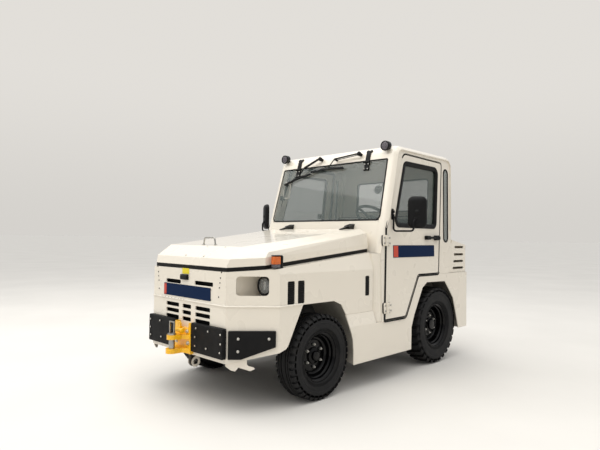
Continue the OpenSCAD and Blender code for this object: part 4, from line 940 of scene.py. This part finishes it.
def make_mirrors():
    """Mirror head, its bent tube arm with a bracket, and the lever handle of each door."""
    sin, cos = math.sin(MIRROR_TURN), math.cos(MIRROR_TURN)
    outline = round_rect(-75, 75, -129, 129, 45, 8)
    head = [(6, -14), (0, -10), (0, 4), (5, 13), (14, 20), (28, 25), (44, 27)]
    wall_y = DOOR_HALF - (1222 - SILL_Z) * math.tan(SIDE_LEAN) + 13
    arm = [(-827, y, z) for y, z in ((wall_y, 1340), (wall_y, 1203), (901, 1203), (901, 1282))]
    arm.append((-852, 903, 1300))
    for name, s in SIDES:
        x, y, z = MIRROR_MID
        m = axes(mm(x, s * y, z), (-sin, s * cos, 0), Z, (cos, s * sin, 0))
        parts, pane = Shape(), Shape()
        parts.stack(m, [(inset(outline, d), z) for d, z in head])
        parts.lathe(shift(m, 0, 0, 25.5), [(19, -1), (19, 3), (15, 6), (9, 9), (0, 10)], 24)
        pane.prism(m @ Matrix.Rotation(math.pi, 4, "Y"), inset(outline, 9), 13.8, 15.2, chamfer=0.6)
        parts.tube(level(s), smooth_path(arm, 30, 8), 7.5, 14)
        ball = [(0, -9), (9, -7), (13, 0), (13, 8), (9, 14), (0, 15)]
        parts.lathe(facing(-849, s * 903, 1300, (-1, 0, 0.2)), ball, 20)
        # Bracket of the arm: a foot and two clamps
        side = on_side(s)
        parts.prism(side, round_rect(-842, -812, up_side(1296), up_side(1386), 6), 0.3, 9, chamfer=2)
        for low, high in ((1304, 1324), (1350, 1372)):
            parts.prism(side, round_rect(-836, -818, up_side(low), up_side(high), 4), 8, 24, chamfer=3)
        # Lever handle: front block, bar and round rear end
        z = up_side(1152)
        parts.prism(side, round_rect(-1400, -1334, z - 17, z + 18, 9), 0.3, 32, chamfer=4)
        parts.prism(side, round_rect(-1500, -1380, z - 9, z + 11, 8), 16, 32, chamfer=3)
        parts.prism(side, round_rect(-1568, -1490, z - 22, z + 23, 21), 0.3, 33, chamfer=5)
        parts.lathe(shift(side, -1545, z, 33), [(11, -1), (11, 3), (9, 5), (0, 5)], 20)
        parts = finish_mesh(
            f"mirror_and_handle_{name}", parts, black_plastic, f"{name}_door", sharp=42
        )
        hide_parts(f"door_fittings_{name}")
        finish_mesh(f"mirror_pane_{name}", pane, chrome, f"{name}_door")


def make_roof_lamps():
    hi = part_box("roof_lamps")[1]
    ring, bowl = Shape(), Shape()
    for s in (LEFT, RIGHT):
        m = forward_at((hi.x - AXLE_X) * 1000, s * 604, hi.z * 1000 - 42.5)
        ring.lathe(m, [(38, -14), (42, -12), (42, 2), (38, 4), (33, 1), (33, -14)], 36, closed=True)
        bowl.lathe(m, [(34, 0.2), (24, 2), (10, 3), (0, 3.2)], 36)
    finish_mesh("work_lamp_rings", ring, black_plastic, "body")
    finish_mesh("work_lamp_lenses", bowl, smoke_lens, "body")


# Pivot, elbow and tip of each wiper arm and the ends of its blade, across and up the glass
WIPERS = [
    ((-129, 602), (-318, 520), (-390, 432), (-558, 374), (-232, 464)),
    ((330, 604), (52, 581), (-12, 506), (-227, 481), (160, 493)),
]


def make_windshield_fittings():
    """Hinges of the glass, with their lobed leaves and bolts, and the two wipers."""
    parts, bolts = Shape(), Shape()
    m = on_screen()
    # The leaves follow the round front edge of the roof
    corner_r, corner_z, foot_z = 110, 1827, 1790
    lean = math.tan(SCREEN_LEAN)
    corner_x = SCREEN_FOOT[0] - (corner_z - SCREEN_FOOT[1]) * lean - corner_r / math.cos(SCREEN_LEAN)
    foot = SCREEN_FOOT[0] - (foot_z - SCREEN_FOOT[1]) * lean
    steps = [14.7 + k * 4 for k in range(8)]

    def on_arc(degrees, out):
        a = math.radians(degrees)
        return (corner_x + (corner_r + out) * math.cos(a), corner_z + (corner_r + out) * math.sin(a))

    band = [(foot + 0.4, foot_z)] + [on_arc(d, 0.4) for d in steps]
    band += [on_arc(d, 8) for d in steps[::-1]] + [(foot + 8.4, foot_z)]
    lobe_x, lobe_z = on_arc(38, 0.3)
    for y in (-415, 415):
        parts.prism(axes(mm(0, y, 0), X, Z, (0, -1, 0)), band, -22, 22)
        for dy in (-1, 1):
            lobe = facing(lobe_x, y + dy * 17, lobe_z, (math.cos(0.66), 0, math.sin(0.66)))
            parts.lathe(lobe, [(16, 0), (16, 7), (13, 9), (0, 9)], 20)
            for up, r in ((462, 15), (506, 13)):
                local = shift(m, y + dy * 18, up)
                parts.lathe(local, [(r, 0.4), (r, 8), (r - 3, 11), (0, 11)], 20)
                bolts.dome_bolt(shift(local, 0, 0, 11), 6, 4)
        parts.prism(m, round_rect(y - 24, y + 24, 452, 520, 10), 0.4, 9, chamfer=2)
        for half, r, sides in ((33, 9, 16), (38, 5, 12)):
            parts.tube(m, [(y - half, 526, 14), (y + half, 526, 14)], r, sides)
    for k, (pivot, elbow, tip, a, b) in enumerate(WIPERS):
        post = [(15, 0), (15, 32), (19, 34), (19, 52), (12, 58), (0, 58)]
        parts.lathe(shift(m, *pivot, -12), post, 24)
        parts.tube(m, [(*pivot, 38), (*elbow, 34)], 7.5, 12)
        parts.tube(m, [(*elbow, 34), (*tip, 24)], 4.5, 12)
        arm = Vector((elbow[0] - pivot[0], elbow[1] - pivot[1], 0)).normalized()
        off = Vector((-arm.y, arm.x, 0)) * (14 if k else -14)
        parts.tube(m, [tuple(Vector((*p, h)) + off) for p, h in ((pivot, 36), (elbow, 32))], 3.5, 10)
        # Blade: rubber below, carrier above and the yoke over its middle
        length = math.dist(a, b) / 2
        turn = math.atan2(b[1] - a[1], b[0] - a[0])
        t = shift(m, (a[0] + b[0]) / 2, (a[1] + b[1]) / 2) @ Matrix.Rotation(turn, 4, "Z")
        bow = [(-length, 4), (-length * 0.5, 9), (0, 13), (length * 0.5, 9), (length, 4)]
        for below, above, low, high in ((9, 4, 9, 27), (5, 0, 3.5, 12)):
            blade = [(x, y - below) for x, y in bow] + [(x, y + above) for x, y in bow[::-1]]
            parts.prism(t, blade, low, high)
        parts.tube(t, [(-length * 0.45, 16, 20), (0, 26, 24), (length * 0.45, 16, 20)], 3, 8)
    parts.lathe(shift(m, 62, 578), [(9, 0), (9, 20), (7, 26), (0, 26)], 16)
    parts = finish_mesh("glass_hinges_and_wipers", parts, black_plastic, "body", sharp=30)
    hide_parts("windshield_fittings")
    finish_mesh("glass_hinge_bolts", bolts, zinc, "body")


# Wheels

FRONT_WHEEL = {
    "radius": FRONT_R * 1000, "bead_r": 175, "dish": 74, "raised": 4, "cap_r": 34,
    "lugs": 38, "lug_depth": 10, "lug_width": 0.74, "lug_end": 53, "slant": 0.0,
}
REAR_WHEEL = {
    "radius": REAR_R * 1000, "bead_r": 195, "dish": 92, "raised": 20, "cap_r": 48,
    "lugs": 29, "lug_depth": 17, "lug_width": 0.62, "lug_end": 4, "slant": 0.16,
}
WHEELS = {"front": FRONT_WHEEL, "rear": REAR_WHEEL}


def half_width(node_name):
    lo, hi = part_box(node_name)
    return (hi.y - lo.y) * 500


def tyre_mesh(m, half, wheel):
    """Carcass with its tread. In front smooth ribs with shoulder notches, at the rear long lugs."""
    shape = Shape()
    front = wheel is FRONT_WHEEL
    bead_r, r = wheel["bead_r"], wheel["radius"]
    base = r - wheel["lug_depth"]
    # Points from the bead to the shoulder: radius from the bead or the tread, width from the middle
    edge = half - 22
    side = [(-13.7, edge - 9.3), (0.3, edge - 7.3), (0.3, edge), (4, edge + 4)]
    side += [(x, half - in_by) for x, in_by in (
        (6, 15), (8, 8), (11, 8), (12, 13), (15, 13), (16, 6), (19, 6), (20, 11),
        (23, 11), (24, 4), (27, 3), (29, 5),
    )]
    side = [(bead_r + x, z) for x, z in side]
    side += [(r - 72, half - 1), (r - 66, half - 2.5), (r - 62, half), (r - 40, half - 1)]
    side += [(base - 14, half - 6), (base - 4, half - 16)]
    if front:
        side += [(base, half - 32), (base, 54.5), (r, 54)]
        side += [(r, 46), (r - 8, 45), (r - 8, 39), (r, 38), (r, 25), (r - 8, 24), (r - 8, 16), (r, 15)]
    else:
        side += [(base, half - 34)]
    shape.lathe(m, side + [(x, -z) for x, z in side[::-1]], 152, closed=True)
    step = 2 * math.pi / wheel["lugs"]
    # Stations of a lug from the shoulder to the middle: height across, top radius
    rows = [(half - 1.5, r - 38), (half - 1.5, r - 18), (half - 9, r - 6), (half - 22, r - 1)]
    rows.append((wheel["lug_end"], r))
    for k in range(wheel["lugs"]):
        for way in (1, -1):
            centre = step * (k + (0.25 if way > 0 else 0.75))
            add_lug(shape, m, rows, base, centre, step * wheel["lug_width"], wheel["slant"] * way, way)
    return shape


def add_lug(shape, m, rows, base, centre, width, slant, way):
    """One block of the tread, four points wide at each of its stations."""
    points = []
    n = len(rows)
    for i, (z, top) in enumerate(rows):
        t = i / (n - 1)
        c = centre + slant * t
        w = width * (0.5 - 0.06 * t)
        low = min(base, top) - 6
        for a, rad in ((c - w, low), (c - w * 0.92, top), (c + w * 0.92, top), (c + w, low)):
            points.append((rad * math.cos(a), rad * math.sin(a), way * z))
    shape.shell(m, points, quads(n, 4) + [[0, 1, 2, 3], [(n - 1) * 4 + j for j in (3, 2, 1, 0)]])


def make_tyres():
    for name, s in SIDES:
        for end, wheel in WHEELS.items():
            node_name, body = f"{end}_tyre_{name}", f"{end}_{name}_wheel"
            shape = tyre_mesh(at_wheel(end == "front", s), half_width(node_name), wheel)
            obj = finish_mesh(f"{end}_tread_{name}", shape, tyre, body, sharp=28)
            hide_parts(node_name)


def rim_mesh(m, flange_r, edge, disc, raised, cap_r):
    """Pressed rim with its bolt flange, hub and cap, and the bore for the spindle."""
    rim = Shape()
    barrel = flange_r - 34
    bore = 25.05
    front_side = [
        (flange_r, edge - 7), (flange_r, edge - 1), (flange_r - 2, edge), (flange_r - 8, edge),
        (flange_r - 12, edge - 3), (flange_r - 21, edge - 9), (flange_r - 24, edge - 14),
        (flange_r - 25, edge - 30), (barrel, edge - 36), (barrel - 2, edge - 40), (barrel - 3, disc + 16),
        (barrel - 9, disc + 5), (barrel - 15, disc + 1), (barrel - 22, disc), (118, disc), (114, disc + 3),
        (108, disc + raised), (60, disc + raised + 1), (57, disc + raised + 12), (54, disc + raised + 14),
        (cap_r + 3, disc + raised + 14), (cap_r, disc + raised + 16), (cap_r, disc + raised + 33),
        (cap_r - 3, disc + raised + 37), (cap_r - 14, disc + raised + 39), (0, disc + raised + 39),
    ]
    back_side = [
        (0, disc + 8), (bore, disc + 8), (bore, disc - 18), (56, disc - 18), (56, disc - 10),
        (barrel, disc - 10), (barrel, -edge), (flange_r, -edge), (flange_r, -edge + 7),
        (flange_r - 14, -edge + 9), (flange_r - 16, -edge + 34), (barrel + 6, -edge + 44),
        (barrel + 6, edge - 44), (flange_r - 16, edge - 34), (flange_r - 14, edge - 9),
    ]
    rim.lathe(m, front_side + back_side, 72, closed=True)
    return rim


def make_wheel_details():
    for name, s in SIDES:
        for end, wheel in WHEELS.items():
            node_name, body = f"{end}_rim_{name}", f"{end}_{name}_wheel"
            m = at_wheel(end == "front", s)
            edge, raised = half_width(node_name), wheel["raised"]
            disc = edge - wheel["dish"]
            rim = rim_mesh(m, wheel["bead_r"], edge, disc, raised, wheel["cap_r"])
            nuts, stem = Shape(), Shape()
            for k in range(6):
                a = math.radians(60 * k + 30)
                nut = shift(m, 80 * math.cos(a), 80 * math.sin(a), disc + raised)
                nuts.hex_bolt(nut, 10.5, 15)
                nuts.lathe(nut, [(5.5, 15), (5.5, 22), (4.5, 23), (0, 23)], 16)
            turned = m @ Matrix.Rotation(math.radians(140), 4, "Z")
            path = [(0, 128, disc + 1), (0, 130, disc + 30), (0, 134, disc + 50)]
            stem.tube(turned, smooth_path(path, 12), 4, 10)
            rim = finish_mesh(f"{end}_pressed_rim_{name}", rim, rim_paint, body)
            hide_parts(node_name)
            finish_mesh(f"{end}_nuts_{name}", nuts, nut_zinc, body)
            finish_mesh(f"{end}_valve_{name}", stem, black_plastic, body)


# Inside the cab


def pad_outline(size, d):
    """Outline of a pad, moved inwards by d millimetres."""
    w, h = size[0] / 2 - d, size[1] / 2 - d
    return round_rect(-w, w, -h, h, 42, 6)


def padded_block(name, m, size):
    """A seat pad: a rounded block that the cloth solver blows up a little."""
    core, outline = Shape(), pad_outline(size, 10)
    levels = [(9, 0.05), (0, 0.2), (0, 0.72), (6, 0.84), (20, 0.93)]
    core.stack(m, [(inset(outline, d), z * size[2]) for d, z in levels])
    bmesh.ops.recalc_face_normals(core.bm, faces=core.bm.faces)
    obj = mesh_object(name, core)
    bpy.context.view_layer.objects.active = obj
    remesh = obj.modifiers.new("remesh", "REMESH")
    remesh.mode = "VOXEL"
    remesh.voxel_size = 0.006
    apply_modifiers(obj)
    blow_up(obj, 0.022)
    smooth = obj.modifiers.new("smooth", "SMOOTH")
    smooth.iterations = 4
    soften = obj.modifiers.new("subdivide", "SUBSURF")
    soften.levels = 1
    apply_modifiers(obj)
    for f in obj.data.polygons:
        f.use_smooth = True
    return obj


def apply_modifiers(obj):
    graph = bpy.context.evaluated_depsgraph_get()
    done = bpy.data.meshes.new_from_object(obj.evaluated_get(graph))
    old = obj.data
    obj.modifiers.clear()
    obj.data = done
    done.name = old.name + "_done"
    bpy.data.meshes.remove(old)


def blow_up(obj, cap):
    """Cloth pressure for some frames, with the way of each point limited."""
    scene = bpy.context.scene
    last_frame = 20
    start = [v.co.copy() for v in obj.data.vertices]
    cloth = obj.modifiers.new("cloth", "CLOTH")
    cloth.settings.quality = 5
    cloth.settings.mass = 0.25
    cloth.settings.use_pressure = True
    cloth.settings.uniform_pressure_force = 4
    cloth.settings.effector_weights.gravity = 0
    cloth.point_cache.frame_start = 1
    cloth.point_cache.frame_end = last_frame
    for frame_number in range(1, last_frame + 1):
        scene.frame_set(frame_number)
    graph = bpy.context.evaluated_depsgraph_get()
    moved = [v.co.copy() for v in obj.evaluated_get(graph).data.vertices]
    obj.modifiers.clear()
    for v, a, b in zip(obj.data.vertices, start, moved):
        way = b - a
        if way.length > cap:
            way = way * (cap / way.length)
        v.co = a + way
    scene.frame_set(1)


CUSHION = (452, 396, 112)
SEAT_BACK = (452, 486, 84)


def make_seats():
    """Two seats, each a padded cushion and a padded back, with piping laid on afterwards."""
    lean = math.radians(10)
    up, out = (-math.sin(lean), 0, math.cos(lean)), (math.cos(lean), 0, math.sin(lean))
    for name, s in SIDES:
        cushion_m = axes(mm(-1320, s * 340, 784), Y, (-1, 0, 0), Z)
        back_m = axes(mm(-1641, s * 340, 1124), Y, up, out)
        cushion = padded_block(f"seat_cushion_{name}", cushion_m, CUSHION)
        back = padded_block(f"seat_back_{name}", back_m, SEAT_BACK)
        for obj in (cushion, back):
            obj.data.materials.clear()
            dress(obj, seat_cover, "body")
        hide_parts("seats")
        piping = Shape()
        for m, size in ((cushion_m, CUSHION), (back_m, SEAT_BACK)):
            piping.tube(m, [(x, y, size[2] * 0.62) for x, y in pad_outline(size, 9)], 4, 8, closed=True)
        finish_mesh(f"seat_piping_{name}", piping, seal_rubber, "body")


def make_interior():
    """Grab handle, latches of the opening glass, a small fan, and the panes of the quarter windows."""
    m = on_screen()
    handle, dark, panes = Shape(), Shape(), Shape()
    path = [(-624, 350, -45), (-607, 258, -45), (-527, 254, -45), (-540, 403, -45)]
    handle.tube(m, smooth_path([(-650, 352, -12)] + path + [(-590, 420, -12)], 22), 8, 12)
    for x, y in ((-45, 50), (-600, 250)):
        dark.prism(m, round_rect(x - 16, x + 16, y - 22, y + 22, 7), -26, -5.5, chamfer=4)
        dark.tube(m, [(x, y - 6, -20), (x + 26, y - 10, -38)], 5, 12)
    fan = [(34, -8), (38, 0), (34, 8), (10, 10), (8, 16), (0, 16)]
    dark.lathe(shift(m, 530, 290, -60), fan, 24)
    dark.tube(m, [(560, 300, -60), (590, 330, -40)], 6, 12)
    for s in (LEFT, RIGHT):
        panes.prism(quarter_at(s), quarter_outline(1), -2.5, -1.5)
    finish_mesh("grab_handle", handle, paint, "body")
    finish_mesh("cab_small_parts", dark, black_plastic, "body")
    finish_mesh("quarter_panes", panes, pale_glass, "body")


# Stage: floor, light and camera


def make_floor():
    bpy.ops.mesh.primitive_plane_add(size=1600, location=(0, 0, 0))
    floor = bpy.context.object
    floor.name = "studio_floor"
    n = Nodes("studio_floor")
    tone = n.ramp(n.noise(0.8, 4), [(0.3, rgb(214, 211, 205)), (0.7, rgb(220, 217, 211))])
    n.set(Base_Color=tone, Roughness=0.9, Normal=n.bump(n.noise(40, 4), 0.1, 0.002))
    floor.data.materials.append(n.material)


HORIZON = rgb(213, 210, 205)


def make_world():
    """Even studio sky. Cameras and glass see it as pale as the far floor."""
    world = bpy.data.worlds.new("studio")
    bpy.context.scene.world = world
    world.use_nodes = True
    t = Tree(world.node_tree)
    coord = t.new("ShaderNodeTexCoord").outputs["Generated"]
    up = t.new("ShaderNodeSeparateXYZ", {"Vector": coord}).outputs["Z"]
    lit = t.tree.nodes["Background"]
    t.link(0.85, lit.inputs["Strength"])
    t.link(t.ramp(up, [(0.0, (0.42, 0.42, 0.43)), (0.7, (1.26, 1.26, 1.26))]), lit.inputs["Color"])
    pale = t.ramp(up, [(0.0, HORIZON), (0.3, (0.76, 0.735, 0.695))], "EASE")
    shown = t.new("ShaderNodeBackground", {"Color": pale})
    ray = t.new("ShaderNodeLightPath").outputs
    seen = t.math("MAXIMUM", ray["Is Camera Ray"], ray["Is Transmission Ray"])
    mixer = t.new("ShaderNodeMixShader", {0: seen, 1: lit.outputs[0], 2: shown.outputs[0]})
    t.link(mixer.outputs[0], t.tree.nodes["World Output"].inputs["Surface"])


def area_light(name, place, aim, size, power, tint=(1, 1, 1)):
    data = bpy.data.lights.new(name, "AREA")
    data.shape = "RECTANGLE"
    data.size, data.size_y = size
    data.energy = power
    data.color = tint
    light = add_object(name, data)
    light.location = place
    light.rotation_mode = "QUATERNION"
    light.rotation_quaternion = (Vector(aim) - Vector(place)).to_track_quat("-Z", "Y")


def make_lights():
    area_light("sky_panel", (1.8, -0.8, 6.6), (-0.2, 0, 0.8), (9, 9), 450, (1.0, 0.985, 0.96))
    area_light("side_panel", (-2.0, 8.0, 4.0), (-0.3, 0.4, 0.9), (6, 4), 12)


PHOTO_WIDTH = 600
FOCAL_PIXELS = 506.4175


def make_camera():
    """Camera fitted to points of the photograph."""
    data = bpy.data.cameras.new("photo_camera")
    data.sensor_width = 36
    data.lens = FOCAL_PIXELS / PHOTO_WIDTH * data.sensor_width
    data.clip_end = 2000
    camera = add_object("photo_camera", data)
    right = (-0.69629478, 0.71763087, 0.01339834)
    up = (0.02791239, 0.00842022, 0.99957491)
    back = (0.717213, 0.69637277, -0.02589375)
    camera.matrix_world = axes(mm(2683.771, 3051.989, 1134.538), right, up, back)
    bpy.context.scene.camera = camera


make_camera()
make_floor()
make_world()
make_lights()
make_bolts()
make_bumpers()
make_front_plates()
make_body_trim()
make_headlamps()
make_turn_lamps()
make_coupling_hardware()
make_hood_details()
make_window_gaskets()
make_door_seals()
make_windshield_trim()
make_hinge_bolts()
make_door_plates()
make_mirrors()
make_roof_lamps()
make_windshield_fittings()
make_tyres()
make_wheel_details()
make_interior()
make_seats()

bpy.context.scene.view_settings.view_transform = "Standard"
